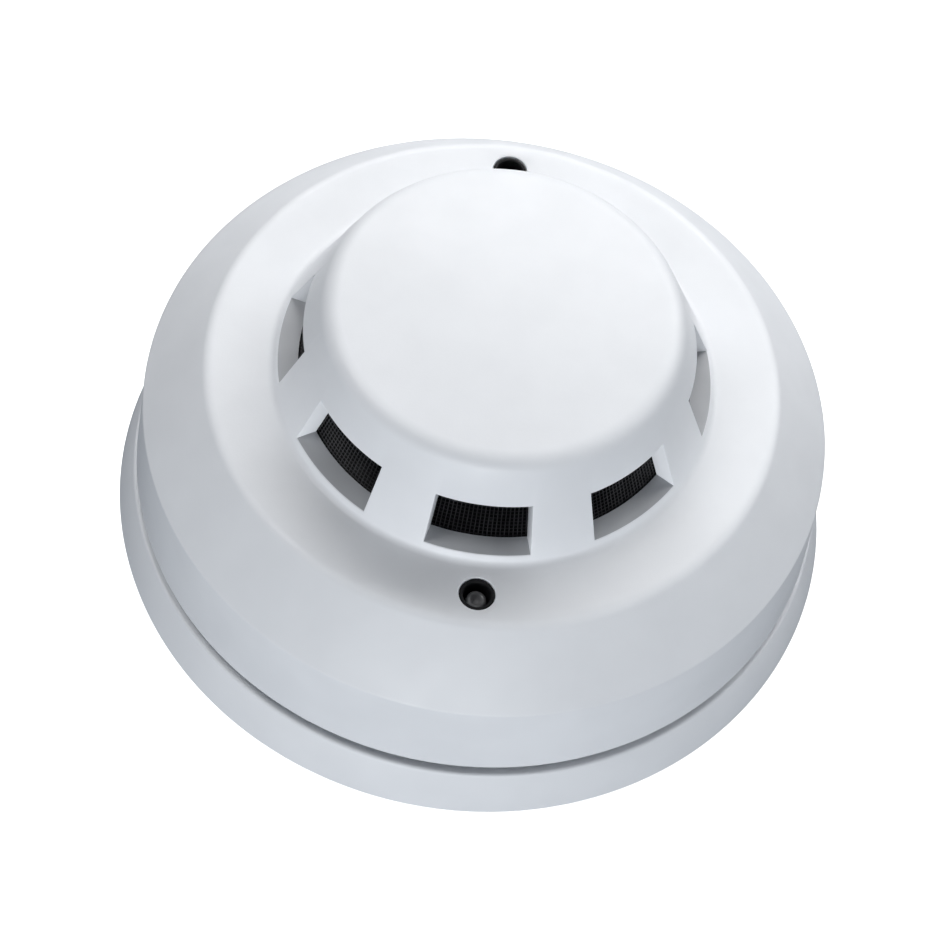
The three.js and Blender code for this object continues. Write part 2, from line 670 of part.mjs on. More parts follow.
BOARD_POST.angles.forEach((angle, i) => {
  addPiece(addTurnedGroup(head, angle), `board_screw_${i + 1}`, boardScrew(), zincScrew);
});

function addComponent(name, place, geometry, material) {
  const [angle, radius] = place;
  addPiece(addTurnedGroup(head, angle, radius), name, geometry, material);
}

addPiece(head, 'sensing_thermistor', thermistor(SENSING_BEAD), beadGlass);
addComponent('reference_thermistor', PLACES.referenceBead, thermistor(REFERENCE_BEAD), beadGlass);
addComponent('controller_chip', PLACES.chip, packageWithPins(CHIP), moulding);
addComponent('bridge_rectifier', PLACES.rectifier, packageWithPins(RECTIFIER), moulding);
addComponent('smoothing_capacitor', PLACES.capacitor, electrolyticCapacitor(), capacitorSleeve);
addComponent('switching_transistor', PLACES.transistor, transistor(), moulding);
addComponent('surge_suppressor', PLACES.suppressor, axialComponent(SUPPRESSOR), moulding);
PLACES.resistors.forEach((place, i) => {
  addComponent(`resistor_${i + 1}`, place, axialComponent(RESISTOR), resistorBody);
});

export default detector;
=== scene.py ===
"""A ceiling heat detector, lying on its back on a pale floor with its dome up.

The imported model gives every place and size. This script builds the visible surfaces around it, in metres,
and gives each piece a procedural finish.
"""

import math

import bmesh
import bpy
from mathutils import Matrix, Quaternion, Vector


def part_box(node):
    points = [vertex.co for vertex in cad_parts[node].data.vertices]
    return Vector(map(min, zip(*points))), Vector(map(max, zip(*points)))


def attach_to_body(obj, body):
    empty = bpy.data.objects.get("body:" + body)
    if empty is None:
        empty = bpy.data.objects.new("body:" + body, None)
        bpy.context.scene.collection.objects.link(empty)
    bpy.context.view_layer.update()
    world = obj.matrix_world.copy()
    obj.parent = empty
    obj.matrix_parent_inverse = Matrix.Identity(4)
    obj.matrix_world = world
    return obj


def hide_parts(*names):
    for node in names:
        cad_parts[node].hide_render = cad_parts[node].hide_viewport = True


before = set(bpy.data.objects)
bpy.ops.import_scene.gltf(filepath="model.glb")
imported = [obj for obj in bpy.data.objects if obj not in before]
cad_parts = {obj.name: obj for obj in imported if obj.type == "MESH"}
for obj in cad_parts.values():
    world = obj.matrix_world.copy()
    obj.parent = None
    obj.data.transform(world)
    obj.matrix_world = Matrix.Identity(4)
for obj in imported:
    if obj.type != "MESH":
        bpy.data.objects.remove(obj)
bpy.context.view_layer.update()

MM = 0.001
HALF_TURN = math.pi
FULL_TURN = 2 * math.pi
QUARTER_TURN = math.pi / 2

# Points nearer to the axis than the first are on it, and places closer than the second are the same.
ON_AXIS = 1e-9
TOLERANCE = 1e-6

# Edges sharper than the first break the smooth shading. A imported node's edges sharper than the second
# are rounded.
SHARP_ANGLE = math.radians(32)
DRESSED_ANGLE = math.radians(35)

# ------------------------ sizes, from the imported model where it has them

cover_low, cover_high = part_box("top_cover")
base_low, base_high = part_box("mounting_base")
rear_low, rear_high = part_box("rear_cover")
board_low, board_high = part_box("circuit_board")
screen_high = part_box("insect_screen")[1]
holder_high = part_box("sensor_holder")[1]

# Roundings of edges, shared by all the pieces.
HAIRLINE = 0.05 * MM
FINE = 0.1 * MM
SMALL = 0.2 * MM
MEDIUM = 0.3 * MM
LARGE = 0.4 * MM
WIDE = 0.5 * MM

# The cover's section.
RIM_RADIUS = cover_high.x
RIM_BOTTOM = cover_low.z
CROWN_TOP = cover_high.z
CREASE_RADIUS = RIM_RADIUS - 0.8 * MM
CREASE_HEIGHT = RIM_BOTTOM + 14.4 * MM
PLATEAU = RIM_BOTTOM + 24.4 * MM
SHOULDER_RADIUS = 40.8 * MM
BAND_FOOT = 31.5 * MM
BAND_TOP = 24.75 * MM
BAND_TOP_HEIGHT = PLATEAU + 15.6 * MM
BAND_WALL = 3.0 * MM
CROWN_RISE = 1.3 * MM
CEILING = 46.8 * MM
COVER_WALL = 2.1 * MM
UNDERSIDE = PLATEAU - COVER_WALL
RIM_EDGE = 0.45 * MM
CREASE_ROUND = 0.7 * MM
SHOULDER_ROUND = 2.2 * MM
VALLEY_ROUND = 1.2 * MM
CAP_ROUND = 3.2 * MM

# The air slots, in cells of the cover's grid, and the window in the grid around each lamp hole.
SLOT_COUNT = 8
SLOT_TURN = math.radians(-1.1)
SLOT_HALF_ANGLE = math.radians(13.8)
SLOT_BOTTOM = PLATEAU + 1.4 * MM
SLOT_TOP = PLATEAU + 8.9 * MM
SLOT_EDGE = 0.12 * MM
SLOT_CELLS = 24
RIB_CELLS = 14
WINDOW_CELLS = 6
WINDOW_REACH = 3.2 * MM

# The lamps and the black tubes that hold them.
LAMP_COUNT = 2
LAMP_RADIUS = 36.2 * MM
LAMP_HOLE = 2.52 * MM
LAMP_HOLE_EDGE = 0.14 * MM
LAMP_ANGLES = [-QUARTER_TURN, QUARTER_TURN]
LAMP_SUNK = 3.1 * MM
LAMP_LENGTH = 3.6 * MM
LENS_RADIUS = 1.5 * MM
LENS_CREST = 0.95 * MM
LENS_HOLLOW = 0.8 * MM
FLANGE_RADIUS = 1.8 * MM
FLANGE_HEIGHT = 0.8 * MM
LAMP_LEAD = 0.5 * MM
LAMP_LEAD_OFFSET = 0.9 * MM
BEZEL_OUTER = 3.5 * MM
BEZEL_SNOUT = 2.42 * MM
BEZEL_BORE = 1.9 * MM

# The base, its twist-lock hooks and its terminals.
FOOT_RADIUS = base_high.x
BASE_RIM_TOP = base_high.z
BASE_RIM_RADIUS = 50.8 * MM
BASE_INNER_RIM = 49.3 * MM
BASE_INNER_FOOT = 50.2 * MM
BASE_FLOOR = 2.2 * MM
FOOT_EDGE = 0.35 * MM
BASE_RIM_EDGE = 0.55 * MM
COLLAR_RADIUS = 15 * MM
COLLAR_TOP = 4 * MM
CABLE_ENTRY = 13 * MM
BAYONET_COUNT = 3
BAYONET_ANGLES = [math.radians(60) + i * FULL_TURN / BAYONET_COUNT for i in range(BAYONET_COUNT)]
HOOK_INNER = 47.3 * MM
HOOK_OUTER = 49.6 * MM
HOOK_BOTTOM = 5 * MM
HOOK_TOP = 6.8 * MM
HOOK_HALF_ANGLE = math.radians(8.5)
STOP_HALF_ANGLE = math.radians(1.75)
TERMINAL_COUNT = 4
TERMINAL_ANGLES = [math.radians(32) + i * FULL_TURN / TERMINAL_COUNT for i in range(TERMINAL_COUNT)]
TERMINAL_RADIUS = 33 * MM
TERMINAL_POST_SIDE = 11 * MM
TERMINAL_POST_TOP = 4.6 * MM
TERMINAL_HOLE = 1.75 * MM
TERMINAL_HOLE_BOTTOM = 1 * MM
FIXING_ANGLES = (0, HALF_TURN)
FIXING_RADIUS = 30 * MM
FIXING_SLOT = (11 * MM, 5 * MM)
FIXING_PAD = (19 * MM, 12 * MM)
FIXING_PAD_TOP = 3 * MM

# The rear cover, and what fastens it and the board.
REAR_PLATE_BOTTOM = rear_high.z - 1.8 * MM
REAR_PLATE_RADIUS = 47.9 * MM
SKIRT_INNER = 45 * MM
SKIRT_OUTER = 46.8 * MM
LUG_RADIUS = 48.9 * MM
LUG_BOTTOM = 3.1 * MM
LUG_TOP = 4.7 * MM
LUG_HALF_ANGLE = math.radians(8)
HOUSING_POST_COUNT = 3
HOUSING_POST_RADIUS = 41.8 * MM
HOUSING_POST_OUTER = 2.8 * MM
HOUSING_POST_HOLE = 1.5 * MM
HOUSING_POST_TOP = 28 * MM
HOUSING_HOLE_DEPTH = 10 * MM
BOARD_POST_OUTER = 3.2 * MM
BOARD_POST_HOLE = 1.45 * MM
BOARD_POST_RADIUS = 24 * MM
BOARD_POST_ANGLES = (math.radians(20), math.radians(200))
CLEARANCE = 0.3 * MM

# The insect screen's grid of wires, and the sensor carrier.
SCREEN_ROWS = 22
SCREEN_COLUMNS = 288
SCREEN_GAP = 0.35 * MM
SCREEN_WIRE = 0.2 * MM
TOWER_OUTER = 12 * MM
TOWER_INNER = 10.4 * MM
DISC_BOTTOM = 30.6 * MM
DISC_TOP = 32.2 * MM
PROBE_FLARE = 4.2 * MM
PROBE_OUTER = 3.2 * MM
PROBE_BORE = 1.7 * MM

# Screws as (shank, head, head height, length), shares of the head for its shape and recess, and the threads.
TERMINAL_SCREW = (1.5 * MM, 2.9 * MM, 1.7 * MM, 4.6 * MM)
HOUSING_SCREW = (1.3 * MM, 2.6 * MM, 1.5 * MM, 9 * MM)
BOARD_SCREW = (1.3 * MM, 2.5 * MM, 1.5 * MM, 4 * MM)
BOARD_SCREW_COUNT = 2
SHEARED_EDGE = 0.12 * MM
HEAD_SHOULDER = 0.6
HEAD_FLAT = 0.7
HEAD_ROUND = 0.45
RECESS_LENGTH = 1.15
RECESS_WIDTH = 0.24
RECESS_FLOOR = 0.4
RECESS_TOP = 1.2
RECESS_TAPER = (0.6, 0.7)
THREAD_DEPTH = 0.2 * MM
THREAD_PITCH = 0.7 * MM
THREAD_COLUMNS = 24
THREAD_ROWS_PER_PITCH = 6
THREAD_TIP = 0.7

# The rivets that hold the contact blades.
RIVET_PLACE = (34 * MM, 4.5 * MM)
RIVET_ANGLES = [math.radians(66) + i * FULL_TURN / TERMINAL_COUNT for i in range(TERMINAL_COUNT)]
RIVET_HOLE = 1.4 * MM
RIVET_SHANK = 1.1 * MM
RIVET_HEAD = 2.2 * MM
RIVET_HEAD_FLAT = 1.3 * MM
RIVET_HEAD_HEIGHT = 1.2 * MM
RIVET_COLLAR = 1.75 * MM
RIVET_COLLAR_TOP = 1.4 * MM
RIVET_COLLAR_HEIGHT = 0.7 * MM
RIVET_EYE = 0.5 * MM

# The board, its solder and its components.
BOARD_FACE = board_high.z + FINE
BOARD_NOTCH = 3.6 * MM
BOARD_SCREW_HOLE = 1.75 * MM
PRINT_RISE = 0.02 * MM
LAND_INNER = 1.5 * MM
LAND_OUTER = 2.7 * MM
LAND_RISE = 0.04 * MM
SOLDER_TIP = 0.25 * MM
SOLDER_FOOT = 0.9 * MM
SOLDER_HEIGHT = 0.7 * MM
LEAD_RADIUS = 0.25 * MM
BEAD_LEAD_RADIUS = 0.3 * MM
BEAD_LEAD_OFFSET = 0.75 * MM
BEAD_STRETCH = 1.25
LEG_PITCH = 1.27 * MM
LEG_WIDTH = 0.45 * MM
PIN_THICKNESS = 0.16 * MM
PIN_HEIGHT = 0.75 * MM
PIN_BEND = 0.35 * MM
PIN_TOE = 0.6 * MM
PIN_REACH = 1.3 * MM
DOT_RADIUS = 0.4 * MM
DOT_INSET = 0.9 * MM

# Flat packages as (width, depth, height, pins on each side, pitch).
CONTROLLER = (10 * MM, 4 * MM, 1.8 * MM, 7, LEG_PITCH)
BRIDGE = (8.5 * MM, 6.4 * MM, 2.6 * MM, 2, 5.1 * MM)

CAN_RADIUS = 3.2 * MM
CAN_HEIGHT = 7.75 * MM
CAN_GROOVE = 3.0 * MM
CAN_GROOVE_HEIGHT = 1.3 * MM
CAN_LIP = 2.55 * MM
CAN_RECESS = 0.25 * MM
LID_RADIUS = 2.54 * MM
LID_DROP = 0.07 * MM
SCORE_LENGTH = 3.4 * MM
SCORE_DROP = 0.01 * MM
STRIPE_HALF_ANGLE = math.radians(16)
STRIPE_BOTTOM = 1.9 * MM
STRIPE_TOP = 7.1 * MM
TRANSISTOR_RADIUS = 2.3 * MM
TRANSISTOR_FLAT = 1.4 * MM
TRANSISTOR_BOTTOM = 3 * MM
TRANSISTOR_TOP = 7.6 * MM

# Bodies that lie on their sides, as (radius, waist, length, span of the leads).
SUPPRESSOR = (1.4 * MM, 1.38 * MM, 5 * MM, 10 * MM)
RESISTOR = (1.0 * MM, 0.86 * MM, 4.6 * MM, 8.6 * MM)
RESISTOR_COUNT = 4
BULGE_LENGTH = 0.6 * MM
WAIST_START = 1.3 * MM
COLOUR_HALF_WIDTH = 0.22 * MM
COLOUR_SPACING = 0.8 * MM
COLOUR_COUNT = 3

SENSING_BEAD = 1.4 * MM
REFERENCE_BEAD = 1.3 * MM


# ------------------------ outlines

def round_corner(before, corner, after, radius, steps=6):
    """The arc that rounds a corner between two straight lines, as [radius, height] points."""
    at = Vector(corner)
    back = (Vector(before) - at).normalized()
    ahead = (Vector(after) - at).normalized()
    half = math.acos(max(-1.0, min(1.0, back.dot(ahead)))) / 2
    centre = at + (back + ahead).normalized() * (radius / math.sin(half))
    start = at + back * (radius / math.tan(half)) - centre
    end = at + ahead * (radius / math.tan(half)) - centre
    sweep = math.atan2(start.x * end.y - start.y * end.x, start.dot(end))
    points = []
    for i in range(steps + 1):
        turn = sweep * i / steps
        x = start.x * math.cos(turn) - start.y * math.sin(turn)
        y = start.x * math.sin(turn) + start.y * math.cos(turn)
        points.append((centre.x + x, centre.y + y))
    return points


def rounded(corners, steps=6):
    """An outline from (radius, height, rounding) corners; a corner with no rounding stays sharp."""
    points = []
    for i, (radius, height, rounding) in enumerate(corners):
        if rounding == 0:
            points.append((radius, height))
        else:
            before = corners[i - 1][:2]
            after = corners[(i + 1) % len(corners)][:2]
            points += round_corner(before, (radius, height), after, rounding, steps)
    return points


# ------------------------ meshes

def shade(bm):
    """Smooth shading, except across edges sharper than an angle."""
    for face in bm.faces:
        face.smooth = True
    for edge in bm.edges:
        edge.smooth = edge.calc_face_angle(0) < SHARP_ANGLE


def to_object(name, bm, material):
    """A mesh as a smooth-shaded object of one material."""
    bmesh.ops.recalc_face_normals(bm, faces=bm.faces)
    shade(bm)
    mesh = bpy.data.meshes.new(name)
    bm.to_mesh(mesh)
    bm.free()
    mesh.materials.append(material)
    obj = bpy.data.objects.new(name, mesh)
    bpy.context.scene.collection.objects.link(obj)
    return obj


def ring_of(bm, outline, angles):
    """Vertices of an outline turned to each angle. A point on the axis is shared by every column."""
    centre = {}
    columns = []
    for angle in angles:
        column = []
        for i, (radius, height) in enumerate(outline):
            if radius < ON_AXIS:
                if i not in centre:
                    centre[i] = bm.verts.new((0, 0, height))
                column.append(centre[i])
            else:
                column.append(bm.verts.new((radius * math.cos(angle), radius * math.sin(angle), height)))
        columns.append(column)
    return columns


def skin(bm, columns, closed_outline, leave_out=None):
    """Faces between neighbouring columns; leave_out says which cells stay open."""
    count = len(columns[0])
    last = count if closed_outline else count - 1
    for c, column in enumerate(columns):
        following = columns[(c + 1) % len(columns)]
        for i in range(last):
            if leave_out and leave_out(c, i):
                continue
            j = (i + 1) % count
            corners = [column[i], following[i], following[j], column[j]]
            distinct = list(dict.fromkeys(corners))
            if len(distinct) > 2:
                bm.faces.new(distinct)


def skin_rings(bm, rings):
    """Side faces between rings of equal length, and a face across each end."""
    for ring, following in zip(rings, rings[1:]):
        for i in range(len(ring)):
            j = (i + 1) % len(ring)
            bm.faces.new((ring[i], ring[j], following[j], following[i]))
    bm.faces.new(rings[0])
    bm.faces.new(rings[-1])


def turned(outline, facets=192, closed=None):
    """A mesh of an outline turned about Z. An outline that starts and ends on the axis isn't closed."""
    if closed is None:
        closed = not (outline[0][0] < ON_AXIS and outline[-1][0] < ON_AXIS)
    bm = bmesh.new()
    angles = [FULL_TURN * i / facets for i in range(facets)]
    skin(bm, ring_of(bm, outline, angles), closed)
    return bm


def move(bm, x=0.0, y=0.0, z=0.0, turn=0.0):
    """Shifts a mesh and then turns it about Z."""
    matrix = Matrix.Rotation(turn, 4, "Z") @ Matrix.Translation((x, y, z))
    bmesh.ops.transform(bm, matrix=matrix, verts=bm.verts)
    return bm


def box_mesh(width, depth, bottom, top):
    bm = bmesh.new()
    bmesh.ops.create_cube(bm, size=1)
    size = Matrix.Diagonal((width, depth, top - bottom, 1))
    matrix = Matrix.Translation((0, 0, (bottom + top) / 2)) @ size
    bmesh.ops.transform(bm, matrix=matrix, verts=bm.verts)
    return bm


def rod_mesh(radius, bottom, top, facets=32):
    return turned([(0, bottom), (radius, bottom), (radius, top), (0, top)], facets)


def prism(points, bottom, top):
    """A flat outline of (x, y) points made thick from bottom to top."""
    bm = bmesh.new()
    low = [bm.verts.new((x, y, bottom)) for x, y in points]
    high = [bm.verts.new((x, y, top)) for x, y in points]
    bm.faces.new(low[::-1])
    bm.faces.new(high)
    for i in range(len(points)):
        j = (i + 1) % len(points)
        bm.faces.new((low[i], low[j], high[j], high[i]))
    return bm


def sector_points(inner, outer, half_angle, steps=12):
    """The outline of a piece of a flat ring, centred on +X."""
    turns = [half_angle * (2 * i / steps - 1) for i in range(steps + 1)]
    far = [(outer * math.cos(a), outer * math.sin(a)) for a in turns]
    near = [(inner * math.cos(a), inner * math.sin(a)) for a in reversed(turns)]
    return far + near


def oblong_points(length, width, steps=14):
    half = (length - width) / 2
    right = [-QUARTER_TURN + HALF_TURN * i / steps for i in range(steps + 1)]
    return ([(half + width / 2 * math.cos(a), width / 2 * math.sin(a)) for a in right]
            + [(-half - width / 2 * math.cos(a), -width / 2 * math.sin(a)) for a in right])


def circle_points(radius, count=12):
    return [(radius * math.cos(FULL_TURN * i / count), radius * math.sin(FULL_TURN * i / count))
            for i in range(count)]


def rectangle_points(width, thickness):
    return [(-width / 2, -thickness / 2), (width / 2, -thickness / 2),
            (width / 2, thickness / 2), (-width / 2, thickness / 2)]


def swept(path, section):
    """A bar that follows a path of (x, z) points, with both ends closed.
    The section lists (across, out) offsets; across runs along Y."""
    bm = bmesh.new()
    rings = []
    for i, (x, z) in enumerate(path):
        before = path[max(i - 1, 0)]
        after = path[min(i + 1, len(path) - 1)]
        along = Vector((after[0] - before[0], 0, after[1] - before[1])).normalized()
        across = Vector((0, 1, 0))
        out = across.cross(along)
        rings.append([bm.verts.new(Vector((x, 0, z)) + across * a + out * b) for a, b in section])
    skin_rings(bm, rings)
    return bm


def laid_along_x(bm, height):
    """Turns a mesh that was made about Z so that it lies along X, at a height."""
    matrix = Matrix.Translation((0, 0, height)) @ Matrix.Rotation(QUARTER_TURN, 4, "Y")
    bmesh.ops.transform(bm, matrix=matrix, verts=bm.verts)
    return bm


def soften(bm, width, segments=2, angle=40):
    """Rounds every edge sharper than an angle."""
    edges = [e for e in bm.edges if e.calc_face_angle(0) > math.radians(angle)]
    bmesh.ops.bevel(bm, geom=edges, offset=width, segments=segments, profile=0.5,
                    affect="EDGES", clamp_overlap=True)
    return bm


def bake(obj):
    """Applies an object's modifiers and marks its sharp edges again."""
    evaluated = obj.evaluated_get(bpy.context.evaluated_depsgraph_get())
    mesh = bpy.data.meshes.new_from_object(evaluated)
    obj.modifiers.clear()
    obj.data = mesh
    bm = bmesh.new()
    bm.from_mesh(mesh)
    shade(bm)
    bm.to_mesh(mesh)
    bm.free()


def combine(obj, tools, operation):
    """Joins or cuts an object with several meshes, exactly."""
    made = []
    for tool in tools:
        helper = to_object("tool", tool, obj.data.materials[0])
        modifier = obj.modifiers.new("combine", "BOOLEAN")
        modifier.operation = operation
        modifier.solver = "EXACT"
        modifier.object = helper
        made.append(helper)
    bpy.context.view_layer.update()
    bake(obj)
    for helper in made:
        bpy.data.objects.remove(helper)
    return obj


def fuse(meshes):
    """Several separate meshes as one."""
    whole = bmesh.new()
    for part in meshes:
        mesh = bpy.data.meshes.new("part")
        part.to_mesh(mesh)
        part.free()
        whole.from_mesh(mesh)
        bpy.data.meshes.remove(mesh)
    return whole


def assembled(name, *parts):
    """One object from several (mesh, material) parts."""
    materials = list(dict.fromkeys(material for _, material in parts))
    for bm, material in parts:
        for face in bm.faces:
            face.material_index = materials.index(material)
    obj = to_object(name, fuse([bm for bm, _ in parts]), materials[0])
    for material in materials[1:]:
        obj.data.materials.append(material)
    return obj


# ------------------------ finishes

# Most of a noise pattern's values lie between these two.
NOISE_LOW = 0.35
NOISE_HIGH = 0.65


def new_material(name):
    material = bpy.data.materials.new(name)
    material.use_nodes = True
    shader = material.node_tree.nodes["Principled BSDF"]
    return material, shader


def set_inputs(node, **values):
    """Sets a node's inputs. An underscore stands for the space in an input's name."""
    for name, value in values.items():
        node.inputs[name.replace("_", " ")].default_value = value


def add_noise(material, scale, detail=3.0, roughness=0.5):
    """A noise pattern in the object's own metres."""
    nodes, links = material.node_tree.nodes, material.node_tree.links
    place = nodes.new("ShaderNodeTexCoord")
    noise = nodes.new("ShaderNodeTexNoise")
    set_inputs(noise, Scale=scale, Detail=detail, Roughness=roughness)
    links.new(place.outputs["Object"], noise.inputs["Vector"])
    return noise


def vary(material, noise, socket, low, high):
    """Drives a shader number from a noise pattern, between two values."""
    nodes, links = material.node_tree.nodes, material.node_tree.links
    spread = nodes.new("ShaderNodeMapRange")
    set_inputs(spread, From_Min=NOISE_LOW, From_Max=NOISE_HIGH, To_Min=low, To_Max=high)
    links.new(noise.outputs["Fac"], spread.inputs["Value"])
    links.new(spread.outputs["Result"], socket)


def tint(material, noise, shader, first, second):
    """Drives the base colour from a noise pattern, between two colours."""
    nodes, links = material.node_tree.nodes, material.node_tree.links
    ramp = nodes.new("ShaderNodeValToRGB")
    stops = ramp.color_ramp.elements
    stops[0].position, stops[0].color = NOISE_LOW, (*first, 1)
    stops[1].position, stops[1].color = NOISE_HIGH, (*second, 1)
    links.new(noise.outputs["Fac"], ramp.inputs["Fac"])
    links.new(ramp.outputs["Color"], shader.inputs["Base Color"])


def roughen(material, shader, noise, distance, strength=1.0):
    """Adds a fine relief to a surface. The distance is the relief's height in metres."""
    nodes, links = material.node_tree.nodes, material.node_tree.links
    bump = nodes.new("ShaderNodeBump")
    set_inputs(bump, Strength=strength, Distance=distance)
    links.new(noise.outputs["Fac"], bump.inputs["Height"])
    links.new(bump.outputs["Normal"], shader.inputs["Normal"])
    return bump


def moulded_plastic(name, colour, second_colour, roughness, grain=0.25 * MM, relief=0.012 * MM):
    """Injection-moulded plastic: a fine spark-eroded grain, and slow changes of gloss and shade."""
    material, shader = new_material(name)
    tint(material, add_noise(material, 1 / (9 * MM), 2), shader, colour, second_colour)
    vary(material, add_noise(material, 1 / (5 * MM), 3), shader.inputs["Roughness"],
         roughness - 0.05, roughness + 0.05)
    roughen(material, shader, add_noise(material, 1 / grain, 3), relief, 0.6)
    set_inputs(shader, IOR=1.5)
    return material


def plated_metal(name, colour, second_colour, roughness, grain=0.6 * MM):
    """Plated or rolled metal: small scratches in the gloss and faint staining."""
    material, shader = new_material(name)
    set_inputs(shader, Metallic=1.0)
    tint(material, add_noise(material, 1 / (2.5 * MM), 4), shader, colour, second_colour)
    vary(material, add_noise(material, 1 / grain, 5, 0.7), shader.inputs["Roughness"],
         roughness - 0.08, roughness + 0.14)
    roughen(material, shader, add_noise(material, 1 / (0.3 * MM), 4), 0.008 * MM, 0.5)
    return material


def lens_material():
    """Clear epoxy, faintly smoked, over a grey lead frame."""
    material, shader = new_material("lamp_epoxy")
    tint(material, add_noise(material, 1 / (1.2 * MM), 2), shader, (0.16, 0.16, 0.165), (0.24, 0.24, 0.245))
    vary(material, add_noise(material, 1 / (0.8 * MM), 2), shader.inputs["Roughness"], 0.10, 0.16)
    set_inputs(shader, IOR=1.54)
    return material


def laminate_material():
    """Solder mask over copper: straight tracks that stand out a little in colour and relief."""
    material, shader = new_material("circuit_laminate")
    nodes, links = material.node_tree.nodes, material.node_tree.links
    place = nodes.new("ShaderNodeTexCoord")
    tracks = nodes.new("ShaderNodeTexBrick")
    tracks.offset = 0.37
    tracks.offset_frequency = 3
    tracks.squash = 0.6
    tracks.squash_frequency = 2
    set_inputs(tracks, Scale=1 / MM, Brick_Width=6.5, Row_Height=1.4, Mortar_Size=0.16, Mortar_Smooth=0.15)
    set_inputs(tracks, Color1=(0.014, 0.10, 0.036, 1), Color2=(0.018, 0.12, 0.044, 1))
    set_inputs(tracks, Mortar=(0.04, 0.20, 0.08, 1))
    bump = nodes.new("ShaderNodeBump")
    set_inputs(bump, Strength=0.5, Distance=0.03 * MM)
    links.new(place.outputs["Object"], tracks.inputs["Vector"])
    links.new(tracks.outputs["Color"], shader.inputs["Base Color"])
    links.new(tracks.outputs["Fac"], bump.inputs["Height"])
    links.new(bump.outputs["Normal"], shader.inputs["Normal"])
    vary(material, add_noise(material, 1 / (2 * MM), 3), shader.inputs["Roughness"], 0.28, 0.4)
    return material


WHITE = moulded_plastic("white_shell", (0.825, 0.84, 0.865), (0.85, 0.865, 0.89), 0.45)
# The slot sills are white plastic; this darker grey paints the shade that falls inside the slots.
SILL_PAINTED_SHADE = moulded_plastic("sill_painted_shade", (0.44, 0.45, 0.47), (0.50, 0.51, 0.53), 0.6)
INNER_WHITE = moulded_plastic("white_moulding", (0.74, 0.75, 0.76), (0.78, 0.79, 0.80), 0.5, 0.3 * MM)
BLACK = moulded_plastic("black_moulding", (0.006, 0.006, 0.0065), (0.012, 0.012, 0.013), 0.6)
set_inputs(BLACK.node_tree.nodes["Principled BSDF"], Specular_IOR_Level=0.18)
MESH_BLACK = plated_metal("screen_mesh", (0.025, 0.025, 0.027), (0.045, 0.045, 0.048), 0.45)
set_inputs(MESH_BLACK.node_tree.nodes["Principled BSDF"], Metallic=0.2)


# ------------------------ top cover

def band_radius(height):
    share = (height - PLATEAU) / (BAND_TOP_HEIGHT - PLATEAU)
    return BAND_FOOT + share * (BAND_TOP - BAND_FOOT)


def crown_points(rim_radius, steps=14):
    """The convex cap from its edge to the axis, as an arc of a large sphere."""
    sphere = (rim_radius ** 2 + CROWN_RISE ** 2) / (2 * CROWN_RISE)
    points = []
    for i in range(steps + 1):
        radius = rim_radius * (1 - i / steps)
        points.append((radius, CROWN_TOP - sphere + math.sqrt(sphere ** 2 - radius ** 2)))
    return points


def cover_outline():
    """The shell's section: up the outside to the axis, and back down the inside.
    The heights of the air slots' edges are points on both sides of the band."""
    rim = (RIM_RADIUS, RIM_BOTTOM)
    crease = (CREASE_RADIUS, CREASE_HEIGHT)
    shoulder = (SHOULDER_RADIUS, PLATEAU)
    valley = (BAND_FOOT, PLATEAU)
    band_top = (BAND_TOP, BAND_TOP_HEIGHT)
    outside = [(RIM_RADIUS - RIM_EDGE, RIM_BOTTOM)]
    outside += round_corner((RIM_RADIUS - COVER_WALL, RIM_BOTTOM), rim, crease, RIM_EDGE, 5)[1:]
    outside += round_corner(rim, crease, shoulder, CREASE_ROUND, 5)
    outside += round_corner(crease, shoulder, valley, SHOULDER_ROUND, 8)
    outside += [(LAMP_RADIUS + WINDOW_REACH, PLATEAU), (LAMP_RADIUS - WINDOW_REACH, PLATEAU)]
    outside += round_corner(shoulder, valley, band_top, VALLEY_ROUND, 6)
    outside += [(band_radius(SLOT_BOTTOM), SLOT_BOTTOM)]
    outside += [(band_radius(SLOT_TOP), SLOT_TOP)]
    outside += round_corner(valley, band_top, (0, CROWN_TOP), CAP_ROUND, 12)
    outside += crown_points(BAND_TOP - CAP_ROUND)
    inside = [
        (0, CROWN_TOP - COVER_WALL),
        (band_radius(CEILING) - BAND_WALL, CEILING),
        (band_radius(SLOT_TOP) - BAND_WALL, SLOT_TOP),
        (band_radius(SLOT_BOTTOM) - BAND_WALL, SLOT_BOTTOM),
        (BAND_FOOT - BAND_WALL, PLATEAU),
        (BAND_FOOT - COVER_WALL / 2, UNDERSIDE),
        (LAMP_RADIUS - WINDOW_REACH, UNDERSIDE),
        (LAMP_RADIUS + WINDOW_REACH, UNDERSIDE),
        (SHOULDER_RADIUS - COVER_WALL / 2, UNDERSIDE),
        (CREASE_RADIUS - COVER_WALL, CREASE_HEIGHT - COVER_WALL / 2),
        (RIM_RADIUS - COVER_WALL, RIM_BOTTOM),
    ]
    return outside + inside


def cover_angles():
    """One angle for each column of the cover, with a column on both edges of every slot."""
    pitch = FULL_TURN / SLOT_COUNT
    rib = pitch - 2 * SLOT_HALF_ANGLE
    angles = []
    for slot in range(SLOT_COUNT):
        middle = slot * pitch + QUARTER_TURN + SLOT_TURN
        start = middle - SLOT_HALF_ANGLE
        angles += [start + 2 * SLOT_HALF_ANGLE * i / SLOT_CELLS for i in range(SLOT_CELLS)]
        angles += [middle + SLOT_HALF_ANGLE + rib * i / RIB_CELLS for i in range(RIB_CELLS)]
    return angles


def segments_between(outline, first, second):
    """Indices of the outline's segments whose two ends pass a test each, in either order."""
    found = []
    for i, start in enumerate(outline):
        end = outline[(i + 1) % len(outline)]
        if (first(start) and second(end)) or (first(end) and second(start)):
            found.append(i)
    return found


def close(value, other):
    return abs(value - other) < TOLERANCE


